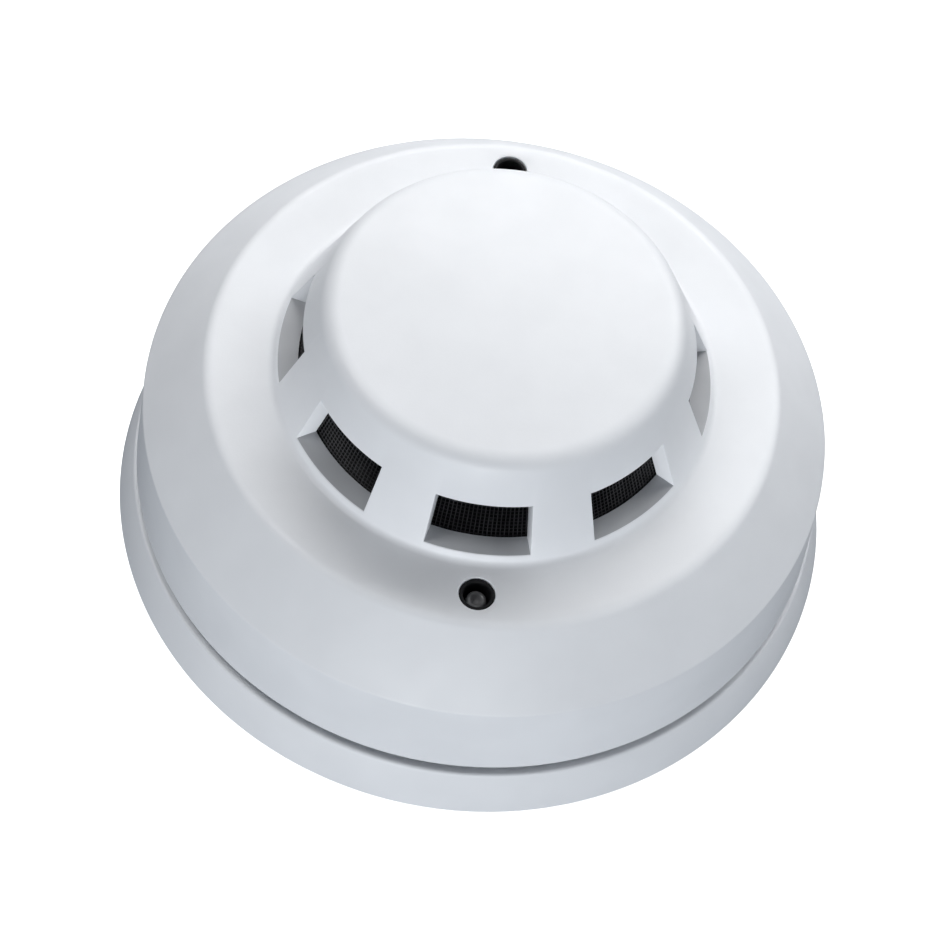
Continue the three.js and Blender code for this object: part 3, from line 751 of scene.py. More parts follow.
def line_slot(bm, columns, outer, inner, first):
    """The four walls of one air slot, between the two faces of the band. The sill takes the second material,
    a darker grey that paints the shade inside the slot.
    Returns the slot's outer edges."""
    last = first + SLOT_CELLS
    rims = []
    total = len(columns)

    def at(column, segment, end):
        return columns[column % total][segment + end]

    for c in range(first, last):
        sill = bm.faces.new((at(c, outer, 0), at(c + 1, outer, 0), at(c + 1, inner, 1), at(c, inner, 1)))
        # The sill's darker grey is painted shade.
        sill.material_index = 1
        bm.faces.new((at(c, outer, 1), at(c + 1, outer, 1), at(c + 1, inner, 0), at(c, inner, 0)))
        rims.append((at(c, outer, 0), at(c + 1, outer, 0)))
        rims.append((at(c, outer, 1), at(c + 1, outer, 1)))
    for c in (first, last):
        bm.faces.new((at(c, outer, 0), at(c, outer, 1), at(c, inner, 0), at(c, inner, 1)))
        rims.append((at(c, outer, 0), at(c, outer, 1)))
    return rims


def window_edges(bm, columns, segment, first, last):
    """The border of an opened stretch of plateau, as edges."""
    total = len(columns)
    loop = [columns[c % total][segment] for c in range(first, last + 1)]
    loop += [columns[c % total][segment + 1] for c in range(last, first - 1, -1)]
    return [bm.edges.get((a, b)) or bm.edges.new((a, b)) for a, b in zip(loop, loop[1:] + loop[:1])]


def circle_edges(bm, centre, radius, height, count=48):
    """A ring of vertices, and the edges that join them."""
    ring = [bm.verts.new((centre.x + x, centre.y + y, height)) for x, y in circle_points(radius, count)]
    return ring, [bm.edges.new((a, b)) for a, b in zip(ring, ring[1:] + ring[:1])]


def lamp_hole(bm, columns, outer, inner, first, last, angle):
    """A round hole with a softened rim through the plateau, in the opened window."""
    centre = Vector((LAMP_RADIUS * math.cos(angle), LAMP_RADIUS * math.sin(angle), 0))
    steps = 3
    rings = []
    for i in range(steps + 1):
        turn = QUARTER_TURN * i / steps
        radius = LAMP_HOLE + LAMP_HOLE_EDGE * (1 - math.sin(turn))
        rings.append(circle_edges(bm, centre, radius, PLATEAU - LAMP_HOLE_EDGE * (1 - math.cos(turn))))
    rings.append(circle_edges(bm, centre, LAMP_HOLE, UNDERSIDE))
    for (upper, _), (lower, _) in zip(rings, rings[1:]):
        for i, vertex in enumerate(upper):
            j = (i + 1) % len(upper)
            bm.faces.new((vertex, upper[j], lower[j], lower[i]))
    for ring, segment in ((rings[0], outer), (rings[-1], inner)):
        border = window_edges(bm, columns, segment, first, last)
        bmesh.ops.triangle_fill(bm, use_beauty=True, use_dissolve=False, edges=border + ring[1])


def housing_post():
    """A boss inside the cover, with a blind hole for a screw."""
    bottom = rear_high.z + CLEARANCE
    hole_top = bottom + HOUSING_HOLE_DEPTH
    return turned([
        (HOUSING_POST_HOLE, bottom),
        (HOUSING_POST_OUTER, bottom),
        (HOUSING_POST_OUTER, HOUSING_POST_TOP),
        (0, HOUSING_POST_TOP),
        (0, hole_top),
        (HOUSING_POST_HOLE, hole_top),
    ], 32, closed=True)


def around_housing_posts(make):
    """A mesh at each of the places where the cover and the rear cover are screwed together."""
    return [move(make(), x=HOUSING_POST_RADIUS, turn=i * FULL_TURN / HOUSING_POST_COUNT)
            for i in range(HOUSING_POST_COUNT)]


def top_cover():
    """The head's shell, in one piece from its rim to the cap, with its slots, lamp holes and bosses."""
    outline = cover_outline()
    bm = bmesh.new()
    columns = ring_of(bm, outline, cover_angles())
    slot_outer, slot_inner = segments_between(
        outline, lambda p: close(p[1], SLOT_BOTTOM), lambda p: close(p[1], SLOT_TOP))
    window_outer, window_inner = segments_between(
        outline, lambda p: close(p[0], LAMP_RADIUS - WINDOW_REACH),
        lambda p: close(p[0], LAMP_RADIUS + WINDOW_REACH))
    per_slot = SLOT_CELLS + RIB_CELLS
    middle = SLOT_CELLS // 2
    lamp_slots = (0, SLOT_COUNT // LAMP_COUNT)

    def left_open(column, segment):
        slot, cell = divmod(column, per_slot)
        if segment in (slot_outer, slot_inner):
            return cell < SLOT_CELLS
        if segment in (window_outer, window_inner):
            return slot in lamp_slots and abs(cell + 0.5 - middle) < WINDOW_CELLS
        return False

    skin(bm, columns, False, left_open)
    for column, following in zip(columns, columns[1:] + columns[:1]):
        bm.faces.new((column[-1], following[-1], following[0], column[0]))
    rims = []
    for slot in range(SLOT_COUNT):
        rims += line_slot(bm, columns, slot_outer, slot_inner, slot * per_slot)
    for slot in lamp_slots:
        first = slot * per_slot + middle - WINDOW_CELLS
        angle = slot * FULL_TURN / SLOT_COUNT + QUARTER_TURN
        lamp_hole(bm, columns, window_outer, window_inner, first, first + 2 * WINDOW_CELLS, angle)
    bmesh.ops.recalc_face_normals(bm, faces=bm.faces)
    rim_edges = [bm.edges.get(pair) for pair in rims]
    bmesh.ops.bevel(bm, geom=rim_edges, offset=SLOT_EDGE, segments=2, profile=0.5, affect="EDGES",
                    clamp_overlap=True)
    cover = to_object("top_cover_shell", bm, WHITE)
    # The second material paints the shade on the slots' sills.
    cover.data.materials.append(SILL_PAINTED_SHADE)
    return combine(cover, [fuse(around_housing_posts(housing_post))], "UNION")


# ------------------------ base

def around_axis(make, radius, angles, aside=0.0):
    """A mesh at each of several angles, at a distance from the axis and, where given, to the side."""
    return [move(make(), x=radius, y=aside, turn=angle) for angle in angles]


def hook():
    outline = sector_points(HOOK_INNER, HOOK_OUTER, HOOK_HALF_ANGLE)
    return soften(prism(outline, HOOK_BOTTOM, HOOK_TOP), 2.5 * FINE)


def hook_stop():
    return prism(sector_points(HOOK_INNER, HOOK_OUTER, STOP_HALF_ANGLE, 4), BASE_FLOOR / 2, HOOK_TOP)


def terminal_post():
    return soften(box_mesh(TERMINAL_POST_SIDE, TERMINAL_POST_SIDE, BASE_FLOOR / 2, TERMINAL_POST_TOP), WIDE)


def fixing_pad():
    return soften(prism(oblong_points(*FIXING_PAD), BASE_FLOOR / 2, FIXING_PAD_TOP), MEDIUM, angle=60)


def base_shell():
    """The mounting base, with its hooks, terminal posts, fixing slots and cable entry."""
    outline = rounded([
        (FOOT_RADIUS, 0, FOOT_EDGE),
        (BASE_RIM_RADIUS, BASE_RIM_TOP, BASE_RIM_EDGE),
        (BASE_INNER_RIM, BASE_RIM_TOP, MEDIUM),
        (BASE_INNER_FOOT, BASE_FLOOR, WIDE),
        (COLLAR_RADIUS, BASE_FLOOR, LARGE),
        (COLLAR_RADIUS, COLLAR_TOP, LARGE),
        (CABLE_ENTRY, COLLAR_TOP, LARGE),
        (CABLE_ENTRY, 0, MEDIUM),
    ], 4)
    base = to_object("base_shell", turned(outline, 288), WHITE)
    hooks = around_axis(hook, 0, BAYONET_ANGLES)
    stop_angles = [angle - HOOK_HALF_ANGLE - STOP_HALF_ANGLE for angle in BAYONET_ANGLES]
    stops = around_axis(hook_stop, 0, stop_angles)
    posts = around_axis(terminal_post, TERMINAL_RADIUS, TERMINAL_ANGLES)
    pads = around_axis(fixing_pad, FIXING_RADIUS, FIXING_ANGLES)
    combine(base, [fuse(hooks), fuse(stops), fuse(posts), fuse(pads)], "UNION")
    above_pads = FIXING_PAD_TOP + MM
    holes = around_axis(lambda: rod_mesh(TERMINAL_HOLE, TERMINAL_HOLE_BOTTOM, TERMINAL_POST_TOP + LARGE),
                        TERMINAL_RADIUS, TERMINAL_ANGLES)
    slots = around_axis(lambda: prism(oblong_points(*FIXING_SLOT), -MM, above_pads),
                        FIXING_RADIUS, FIXING_ANGLES)
    return combine(base, [fuse(holes + slots)], "DIFFERENCE")


# ------------------------ rear cover and screen

def rear_lug():
    inner = SKIRT_OUTER - CLEARANCE
    return soften(prism(sector_points(inner, LUG_RADIUS, LUG_HALF_ANGLE), LUG_BOTTOM, LUG_TOP), 2.5 * FINE)


def rear_shell():
    """The head's rear cover: a plate with a skirt, three lugs, and two posts for the board."""
    outline = rounded([
        (0, REAR_PLATE_BOTTOM, 0),
        (SKIRT_INNER, REAR_PLATE_BOTTOM, WIDE),
        (SKIRT_INNER, rear_low.z, LARGE),
        (SKIRT_OUTER, rear_low.z, LARGE),
        (SKIRT_OUTER, REAR_PLATE_BOTTOM, MEDIUM),
        (REAR_PLATE_RADIUS, REAR_PLATE_BOTTOM, MEDIUM),
        (REAR_PLATE_RADIUS, rear_high.z, MEDIUM),
        (0, rear_high.z, 0),
    ], 4)
    rear = to_object("rear_cover_shell", turned(outline, 240), INNER_WHITE)
    lugs = around_axis(rear_lug, 0, BAYONET_ANGLES)
    post_bottom = REAR_PLATE_BOTTOM + CLEARANCE
    posts = around_axis(lambda: rod_mesh(BOARD_POST_OUTER, post_bottom, board_low.z - FINE),
                        BOARD_POST_RADIUS, BOARD_POST_ANGLES)
    combine(rear, [fuse(lugs), fuse(posts)], "UNION")
    below, above = REAR_PLATE_BOTTOM - MM, rear_high.z + MM
    cuts = around_axis(lambda: rod_mesh(BOARD_POST_HOLE, post_bottom + CLEARANCE, board_low.z + MM),
                       BOARD_POST_RADIUS, BOARD_POST_ANGLES)
    cuts += around_housing_posts(lambda: rod_mesh(HOUSING_POST_HOLE + CLEARANCE, below, above))
    cuts += around_axis(lambda: rod_mesh(RIVET_HOLE, below, above), RIVET_PLACE[0], RIVET_ANGLES,
                        aside=RIVET_PLACE[1])
    return combine(rear, [fuse(cuts)], "DIFFERENCE")


def screen_ring():
    """Fine mesh on the inside of the band: a grid of wires."""
    bottom, top = PLATEAU + SMALL, screen_high.z - SMALL
    inset = BAND_WALL + SCREEN_GAP + SCREEN_WIRE / 2
    heights = [bottom + (top - bottom) * i / SCREEN_ROWS for i in range(SCREEN_ROWS + 1)]
    outline = [(band_radius(height) - inset, height) for height in heights]
    bm = bmesh.new()
    skin(bm, ring_of(bm, outline, [FULL_TURN * c / SCREEN_COLUMNS for c in range(SCREEN_COLUMNS)]), False)
    screen = to_object("insect_screen_mesh", bm, MESH_BLACK)
    modifier = screen.modifiers.new("wires", "WIREFRAME")
    modifier.thickness = SCREEN_WIRE
    modifier.offset = 0
    modifier.use_boundary = True
    modifier.use_even_offset = False
    bpy.context.view_layer.update()
    bake(screen)
    return screen


def holder_mesh():
    """The black carrier: a hollow tower, a disc that closes the dome, and a tube for the probe."""
    outline = rounded([
        (TOWER_OUTER, BOARD_FACE, MEDIUM),
        (TOWER_OUTER, DISC_BOTTOM, 2 * LARGE),
        (holder_high.x, DISC_BOTTOM, LARGE),
        (holder_high.x, DISC_TOP, LARGE),
        (PROBE_FLARE, DISC_TOP, 2 * MEDIUM),
        (PROBE_OUTER, holder_high.z, MEDIUM),
        (PROBE_BORE, holder_high.z, SMALL),
        (PROBE_BORE, DISC_BOTTOM - MM, FINE),
        (TOWER_INNER, DISC_BOTTOM - MM, LARGE),
        (TOWER_INNER, BOARD_FACE, SMALL),
    ], 4)
    return to_object("sensor_carrier", turned(outline, 96), BLACK)


def lamp_tube(index, angle):
    """The black tube round a lamp. Its narrow snout fills the hole in the cover."""
    shoulder = UNDERSIDE - CLEARANCE
    face = PLATEAU - SMALL
    outline = rounded([
        (BEZEL_OUTER, BOARD_FACE, SMALL),
        (BEZEL_OUTER, shoulder, MEDIUM),
        (BEZEL_SNOUT, shoulder, FINE),
        (BEZEL_SNOUT, face, 1.5 * FINE),
        (BEZEL_BORE, face, 2.5 * FINE),
        (BEZEL_BORE, BOARD_FACE, FINE),
    ], 4)
    bm = move(turned(outline, 48), x=LAMP_RADIUS, turn=angle)
    return to_object(f"lamp_bezel_{index}", bm, BLACK)


def lamp_lens(index, angle):
    """A small lamp with a hollowed front and a flange at its foot, on two leads."""
    centre = PLATEAU - LAMP_SUNK
    bottom = centre - LAMP_LENGTH
    crest = centre + LENS_RADIUS
    flange_top = bottom + FLANGE_HEIGHT
    lens = turned(rounded([
        (0, bottom, 0),
        (FLANGE_RADIUS, bottom, FINE),
        (FLANGE_RADIUS, flange_top, FINE),
        (LENS_RADIUS, flange_top, FINE),
        (LENS_RADIUS, crest - 1.5 * FINE, WIDE),
        (LENS_CREST, crest, 3.5 * FINE),
        (MEDIUM, centre + LENS_HOLLOW, SMALL),
        (0, centre + LENS_HOLLOW, 0),
    ], 6), 48)
    leads = []
    for side in (-1, 1):
        lead = soften(box_mesh(LAMP_LEAD, LAMP_LEAD, BOARD_FACE, bottom + MEDIUM), 0.08 * MM)
        leads.append(move(lead, y=side * LAMP_LEAD_OFFSET))
    obj = assembled(f"lamp_lens_{index}", (lens, LENS), (fuse(leads), TINNED))
    obj.data.transform(Matrix.Rotation(angle, 4, "Z") @ Matrix.Translation((LAMP_RADIUS, 0, 0)))
    return obj


# ------------------------ screws and rivets

def threaded_shank(radius, bottom, top):
    """A rod with a helical V thread, tapered at its bottom end."""
    rows = round((top - bottom) / THREAD_PITCH * THREAD_ROWS_PER_PITCH)
    bm = bmesh.new()
    rings = []
    for row in range(rows + 1):
        height = bottom + (top - bottom) * row / rows
        taper = min(1.0, THREAD_TIP + (height - bottom) / (2 * THREAD_PITCH))
        ring = []
        for column in range(THREAD_COLUMNS):
            phase = (height / THREAD_PITCH - column / THREAD_COLUMNS) % 1
            depth = THREAD_DEPTH * abs(2 * phase - 1)
            angle = FULL_TURN * column / THREAD_COLUMNS
            reach = (radius - depth) * taper
            ring.append(bm.verts.new((reach * math.cos(angle), reach * math.sin(angle), height)))
        rings.append(ring)
    skin_rings(bm, rings)
    return bm


def recess_bar(head, head_height, turn):
    """One bar of a cross recess, narrower and shorter at its floor."""
    bar = box_mesh(head * RECESS_LENGTH, head * RECESS_WIDTH, head_height * RECESS_FLOOR,
                   head_height * RECESS_TOP)
    for vertex in bar.verts:
        if vertex.co.z < head_height:
            vertex.co.x *= RECESS_TAPER[0]
            vertex.co.y *= RECESS_TAPER[1]
    return move(bar, turn=turn)


def screw(shank, head, head_height, length):
    """A pan head with a cross recess on a threaded shank. The head's underside is at height zero."""
    outline = rounded([
        (0, 0, 0),
        (head, 0, SHEARED_EDGE),
        (head, head_height * HEAD_SHOULDER, head_height * HEAD_ROUND),
        (head * HEAD_FLAT, head_height, head_height * HEAD_ROUND),
        (0, head_height, 0),
    ], 5)
    obj = to_object("screw", turned(outline, 48), ZINC)
    for turn in (0, QUARTER_TURN):
        combine(obj, [recess_bar(head, head_height, turn)], "DIFFERENCE")
    return combine(obj, [threaded_shank(shank, -length, FINE)], "UNION")


def placed(template, name, radius, angle, height, upside_down=False):
    """A copy of an object at a distance and angle from the axis, and at a height."""
    flip = Matrix.Rotation(HALF_TURN if upside_down else 0, 4, "X")
    mesh = template.data.copy()
    mesh.transform(Matrix.Rotation(angle, 4, "Z") @ Matrix.Translation((radius, 0, height)) @ flip)
    obj = bpy.data.objects.new(name, mesh)
    bpy.context.scene.collection.objects.link(obj)
    return obj


def place_of(node):
    """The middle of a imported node, as its distance from the axis and its angle about it."""
    node_low, node_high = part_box(node)
    middle = (node_low + node_high) / 2
    return math.hypot(middle.x, middle.y), math.atan2(middle.y, middle.x)


def at_nodes(kind, count, make):
    """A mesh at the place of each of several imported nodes, which are numbered from one."""
    meshes = []
    for n in range(1, count + 1):
        distance, angle = place_of(f"{kind}_{n}")
        meshes.append(move(make(), x=distance, turn=angle))
    return meshes


def add_screws():
    """Threaded screws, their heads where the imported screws' heads are."""
    for kind, count, sizes, upside_down in (
            ("terminal_screw", TERMINAL_COUNT, TERMINAL_SCREW, False),
            ("housing_screw", HOUSING_POST_COUNT, HOUSING_SCREW, True),
            ("board_screw", BOARD_SCREW_COUNT, BOARD_SCREW, False)):
        template = screw(*sizes)
        head_height = sizes[2]
        for n in range(1, count + 1):
            name = f"{kind}_{n}"
            node_low, node_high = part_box(name)
            seat = node_low.z + head_height if upside_down else node_high.z - head_height
            obj = placed(template, f"{name}_threaded", *place_of(name), seat, upside_down)
            body = f"clamp_screw_{n}" if kind == "terminal_screw" else "head"
            attach(obj, body, name)
        bpy.data.objects.remove(template)


def add_rivets():
    """The rivets that hold the contact blades: a domed head below and a spread collar on the board."""
    for n in range(1, TERMINAL_COUNT + 1):
        name = f"contact_rivet_{n}"
        bottom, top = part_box(name)[0].z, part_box(name)[1].z
        under_blade = bottom + RIVET_HEAD_HEIGHT
        on_board = top - RIVET_COLLAR_HEIGHT
        outline = rounded([
            (0, bottom, 0),
            (RIVET_HEAD_FLAT, bottom, WIDE),
            (RIVET_HEAD, under_blade - LARGE, MEDIUM),
            (RIVET_HEAD, under_blade, HAIRLINE),
            (RIVET_SHANK, under_blade, HAIRLINE),
            (RIVET_SHANK, on_board, HAIRLINE),
            (RIVET_COLLAR, on_board, FINE),
            (RIVET_COLLAR_TOP, top, MEDIUM),
            (RIVET_EYE, top, FINE),
            (0, top - LARGE, 0),
        ], 4)
        radius, angle = place_of(name)
        obj = to_object(f"{name}_turned", move(turned(outline, 40), x=radius, turn=angle), NICKEL)
        attach(obj, "head", name)


# ------------------------ circuit board and components

def board_disc():
    """The round board, with notches for the housing posts and holes for its screws and rivets."""
    disc = turned(rounded([
        (0, board_low.z, 0),
        (board_high.x, board_low.z, SHEARED_EDGE),
        (board_high.x, board_high.z, SHEARED_EDGE),
        (0, board_high.z, 0),
    ], 2), 180)
    below, above = board_low.z - MM, board_high.z + MM
    cuts = around_housing_posts(lambda: rod_mesh(BOARD_NOTCH, below, above))
    cuts += at_nodes("board_screw", BOARD_SCREW_COUNT, lambda: rod_mesh(BOARD_SCREW_HOLE, below, above))
    cuts += at_nodes("contact_rivet", TERMINAL_COUNT, lambda: rod_mesh(RIVET_HOLE, below, above))
    return combine(to_object("board_laminate", disc, LAMINATE), [fuse(cuts)], "DIFFERENCE")


def land():
    """A tinned ring on the board's underside, round a rivet."""
    low_face, high_face = board_low.z - LAND_RISE, board_low.z + PRINT_RISE
    return turned([(LAND_INNER, low_face), (LAND_OUTER, low_face), (LAND_OUTER, high_face),
                   (LAND_INNER, high_face)], 40, closed=True)


def solder_joint():
    """A cone of solder on the board's underside."""
    tip, foot = board_low.z - SOLDER_HEIGHT, board_low.z + PRINT_RISE
    outline = rounded([(0, tip, 0), (SOLDER_TIP, tip, 1.5 * FINE), (SOLDER_FOOT, foot, 0), (0, foot, 0)], 4)
    return turned(outline, 20)


def board_lands():
    """Tinned rings round the rivets, and a solder joint for every component lead."""
    rings = at_nodes("contact_rivet", TERMINAL_COUNT, land)
    for name, offset in LEADED_COMPONENTS.items():
        distance, angle = place_of(name)
        for side in (-1, 1):
            rings.append(move(move(solder_joint(), x=side * offset), x=distance, turn=angle))
    return to_object("board_solder", fuse(rings), TINNED)


def placed_component(node, *parts):
    """A component built about the origin, moved to its place on the board."""
    obj = assembled(f"{node}_body", *parts)
    distance, angle = place_of(node)
    obj.data.transform(Matrix.Rotation(angle, 4, "Z") @ Matrix.Translation((distance, 0, 0)))
    return obj


def flat_package(node, width, depth, height, pins, pitch):
    """A moulded package with a row of bent pins along each long side, and a dot at its first pin."""
    lid = BOARD_FACE + height
    edge = depth / 2
    body = soften(box_mesh(width, depth, BOARD_FACE + MEDIUM, lid), SMALL)
    dot = turned(rounded([
        (0, lid - PRINT_RISE, 0),
        (DOT_RADIUS, lid - PRINT_RISE, 0),
        (DOT_RADIUS - PRINT_RISE, lid + PRINT_RISE, 0),
        (0, lid + PRINT_RISE, 0),
    ]), 24)
    dot = move(dot, x=-width / 2 + DOT_INSET, y=-edge + DOT_INSET)
    pin_path = rounded([
        (edge - MEDIUM, BOARD_FACE + PIN_HEIGHT, 0),
        (edge + PIN_BEND, BOARD_FACE + PIN_HEIGHT, 1.5 * FINE),
        (edge + PIN_TOE, BOARD_FACE + FINE, 1.5 * FINE),
        (edge + PIN_REACH, BOARD_FACE + FINE, 0),
    ], 4)
    legs = []
    for side in (-1, 1):
        for i in range(pins):
            leg = swept(pin_path, rectangle_points(LEG_WIDTH, PIN_THICKNESS))
            legs.append(move(move(leg, turn=side * QUARTER_TURN), x=(i - (pins - 1) / 2) * pitch))
    return placed_component(node, (body, MOULDING), (dot, PALE_MARK), (fuse(legs), TINNED))


def capacitor():
    """A can in a printed sleeve that curls over its top edge, with a scored metal top."""
    top = BOARD_FACE + CAN_HEIGHT
    recess = top - CAN_RECESS
    groove = BOARD_FACE + CAN_GROOVE_HEIGHT
    sleeve = turned(rounded([
        (0, BOARD_FACE, 0),
        (CAN_RADIUS, BOARD_FACE, 1.5 * FINE),
        (CAN_RADIUS, groove - MEDIUM, 2.5 * FINE),
        (CAN_GROOVE, groove, 2.5 * FINE),
        (CAN_RADIUS, groove + MEDIUM, 2.5 * FINE),
        (CAN_RADIUS, top, LARGE),
        (CAN_LIP, top, 0.8 * FINE),
        (CAN_LIP, recess, 0),
        (0, recess, 0),
    ], 5), 48)
    lid = turned(rounded([
        (0, recess - FINE, 0),
        (LID_RADIUS, recess - FINE, 0),
        (LID_RADIUS, top - LID_DROP, FINE),
        (0, top - LID_DROP, 0),
    ], 4), 48)
    scores = []
    for turn in (0, QUARTER_TURN):
        score = box_mesh(SCORE_LENGTH, MEDIUM, top - 1.5 * FINE, top - SCORE_DROP)
        scores.append(move(soften(score, HAIRLINE), turn=turn))
    stripe = prism(sector_points(CAN_RADIUS - FINE, CAN_RADIUS + FINE / 4, STRIPE_HALF_ANGLE),
                   BOARD_FACE + STRIPE_BOTTOM, BOARD_FACE + STRIPE_TOP)
    return placed_component("smoothing_capacitor", (sleeve, SLEEVE), (fuse([lid] + scores), TINNED),
                            (stripe, PALE_MARK))


def transistor():
    """A moulded cylinder with one flat side, on three legs."""
    steps = 28
    start = math.asin(TRANSISTOR_FLAT / TRANSISTOR_RADIUS)
    angles = [start - (HALF_TURN + 2 * start) * i / steps for i in range(steps + 1)]
    outline = [(TRANSISTOR_RADIUS * math.cos(a), TRANSISTOR_RADIUS * math.sin(a)) for a in angles]
    body_bottom = BOARD_FACE + TRANSISTOR_BOTTOM
    body = soften(prism(outline, body_bottom, BOARD_FACE + TRANSISTOR_TOP), 1.5 * FINE)
    legs = []
    for place in (-1, 0, 1):
        leg = soften(box_mesh(LEG_WIDTH, LEG_WIDTH, BOARD_FACE, body_bottom + MEDIUM), 0.6 * FINE)
        legs.append(move(leg, x=place * LEG_PITCH))
    return placed_component("switching_transistor", (body, MOULDING), (fuse(legs), TINNED))


def colour_ring(radius, place):
    """A ring of print round a body that is still upright."""
    low_edge, high_edge = place - COLOUR_HALF_WIDTH, place + COLOUR_HALF_WIDTH
    inner, outer = radius - FINE, radius + PRINT_RISE
    outline = [(inner, low_edge), (outer, low_edge), (outer, high_edge), (inner, high_edge)]
    return turned(outline, 32, closed=True)


def axial_component(node, radius, waist, length, span, material, bands):
    """A body that lies on its side, with rings of colour and a bent lead at each end."""
    height = BOARD_FACE + radius + LARGE
    end = length / 2
    body = turned(rounded([
        (0, -end, 0),
        (radius * 0.8, -end, SMALL),
        (radius, -end + BULGE_LENGTH, MEDIUM),
        (waist, -end + WAIST_START, MEDIUM),
        (waist, end - WAIST_START, MEDIUM),
        (radius, end - BULGE_LENGTH, MEDIUM),
        (radius * 0.8, end, SMALL),
        (0, end, 0),
    ], 4), 32)
    parts = [(laid_along_x(body, height), material)]
    for place, colour in bands:
        parts.append((laid_along_x(colour_ring(waist, place), height), colour))
    reach = span / 2 - LEAD_RADIUS
    lead = rounded([(reach, BOARD_FACE, 0), (reach, height, 2 * MEDIUM), (end - SMALL, height, 0)], 6)
    wires = [move(swept(lead, circle_points(LEAD_RADIUS)), turn=turn) for turn in (0, HALF_TURN)]
    parts.append((fuse(wires), TINNED))
    return placed_component(node, *parts)


def thermistor(node, radius):
    """A dipped bead that runs down a little over its two stiff leads."""
    reach = BEAD_STRETCH * radius
    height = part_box(node)[1].z - reach
    steps = 14
    bead = [(radius * math.cos(a), height + reach * math.sin(a))
            for a in [HALF_TURN * (i / steps - 0.3) for i in range(1, round(steps * 0.8))]]
    skirt = [(0, height - 1.9 * radius), (0.45 * radius, height - 1.75 * radius)]
    coat = turned(skirt + bead + [(0, height + reach)], 32)
    leads = []
    for side in (-1, 1):
        offset = side * BEAD_LEAD_OFFSET
        leads.append(swept([(offset, BOARD_FACE), (offset, height)], circle_points(BEAD_LEAD_RADIUS)))
    return placed_component(node, (coat, BEAD_COAT), (fuse(leads), TINNED))


# ------------------------ everything in its place

def attach(obj, body, node):
    """Puts a visible piece on its body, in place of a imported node."""
    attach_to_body(obj, body)
    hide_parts(node)
    return obj


def dress(node, material, edge):
    """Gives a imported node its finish, and rounds its edges."""
    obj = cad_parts[node]
    for material_slot in obj.material_slots:
        material_slot.link = "OBJECT"
        material_slot.material = material
    bevel = obj.modifiers.new("edges", "BEVEL")
    bevel.width = edge
    bevel.segments = 2
    bevel.limit_method = "ANGLE"
    bevel.angle_limit = DRESSED_ANGLE


# The components whose leads come through the board, and how far their leads are from their middle.
LEADED_COMPONENTS = {
    "smoothing_capacitor": LEG_PITCH,
    "switching_transistor": LEG_PITCH,
    "surge_suppressor": SUPPRESSOR[3] / 2 - LEAD_RADIUS,
    "reference_thermistor": BEAD_LEAD_OFFSET,
}
for number in range(1, RESISTOR_COUNT + 1):
    LEADED_COMPONENTS[f"resistor_{number}"] = RESISTOR[3] / 2 - LEAD_RADIUS

LENS = lens_material()
BRASS = plated_metal("contact_strip", (0.60, 0.45, 0.21), (0.72, 0.56, 0.28), 0.34)
NICKEL = plated_metal("nickel_plate", (0.58, 0.56, 0.52), (0.68, 0.66, 0.62), 0.32)
ZINC = plated_metal("zinc_screw", (0.60, 0.62, 0.65), (0.71, 0.72, 0.74), 0.28, 0.4 * MM)
TINNED = plated_metal("tinned_lead", (0.58, 0.59, 0.60), (0.70, 0.71, 0.72), 0.38, 0.3 * MM)
MOULDING = moulded_plastic(
    "component_moulding", (0.022, 0.022, 0.024), (0.038, 0.038, 0.042), 0.55, 0.15 * MM)
SLEEVE = moulded_plastic(
    "capacitor_sleeve", (0.018, 0.03, 0.085), (0.03, 0.048, 0.12), 0.26, 0.8 * MM, 0.005 * MM)
LACQUER = moulded_plastic(
    "resistor_lacquer", (0.50, 0.37, 0.20), (0.58, 0.45, 0.26), 0.34, 0.4 * MM, 0.006 * MM)
BEAD_COAT = moulded_plastic(
    "bead_coating", (0.24, 0.07, 0.025), (0.34, 0.11, 0.045), 0.28, 0.5 * MM, 0.008 * MM)
PALE_MARK = moulded_plastic(
    "pale_print", (0.62, 0.63, 0.64), (0.70, 0.71, 0.72), 0.5, 0.2 * MM, 0.003 * MM)
BAND_COLOURS = [
    moulded_plastic("brown_print", (0.12, 0.045, 0.02), (0.16, 0.06, 0.03), 0.4, 0.3 * MM, 0.003 * MM),
    moulded_plastic("black_print", (0.015, 0.015, 0.016), (0.025, 0.025, 0.026), 0.4, 0.3 * MM, 0.003 * MM),
    moulded_plastic("orange_print", (0.70, 0.20, 0.03), (0.78, 0.26, 0.05), 0.4, 0.3 * MM, 0.003 * MM),
]
LAMINATE = laminate_material()

attach(top_cover(), "head", "top_cover")
attach(base_shell(), "base", "mounting_base")
attach(rear_shell(), "head", "rear_cover")
attach(screen_ring(), "head", "insect_screen")
attach(holder_mesh(), "head", "sensor_holder")
for number, lamp_angle in enumerate(LAMP_ANGLES, 1):
    attach(lamp_tube(number, lamp_angle), "head", f"lamp_holder_{number}")
    attach(lamp_lens(number, lamp_angle), "head", f"indicator_lamp_{number}")
add_screws()
add_rivets()
for number in range(1, TERMINAL_COUNT + 1):
    dress(f"terminal_contact_{number}", BRASS, FINE)
    dress(f"terminal_washer_{number}", NICKEL, 1.5 * FINE)
    dress(f"contact_blade_{number}", NICKEL, FINE)
attach(board_disc(), "head", "circuit_board")
solder = board_lands()
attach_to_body(solder, "head")
attach(flat_package("controller_chip", *CONTROLLER), "head", "controller_chip")
attach(flat_package("bridge_rectifier", *BRIDGE), "head", "bridge_rectifier")
attach(capacitor(), "head", "smoothing_capacitor")
attach(transistor(), "head", "switching_transistor")
attach(axial_component("surge_suppressor", *SUPPRESSOR, MOULDING, [(MM, PALE_MARK)]),
       "head", "surge_suppressor")
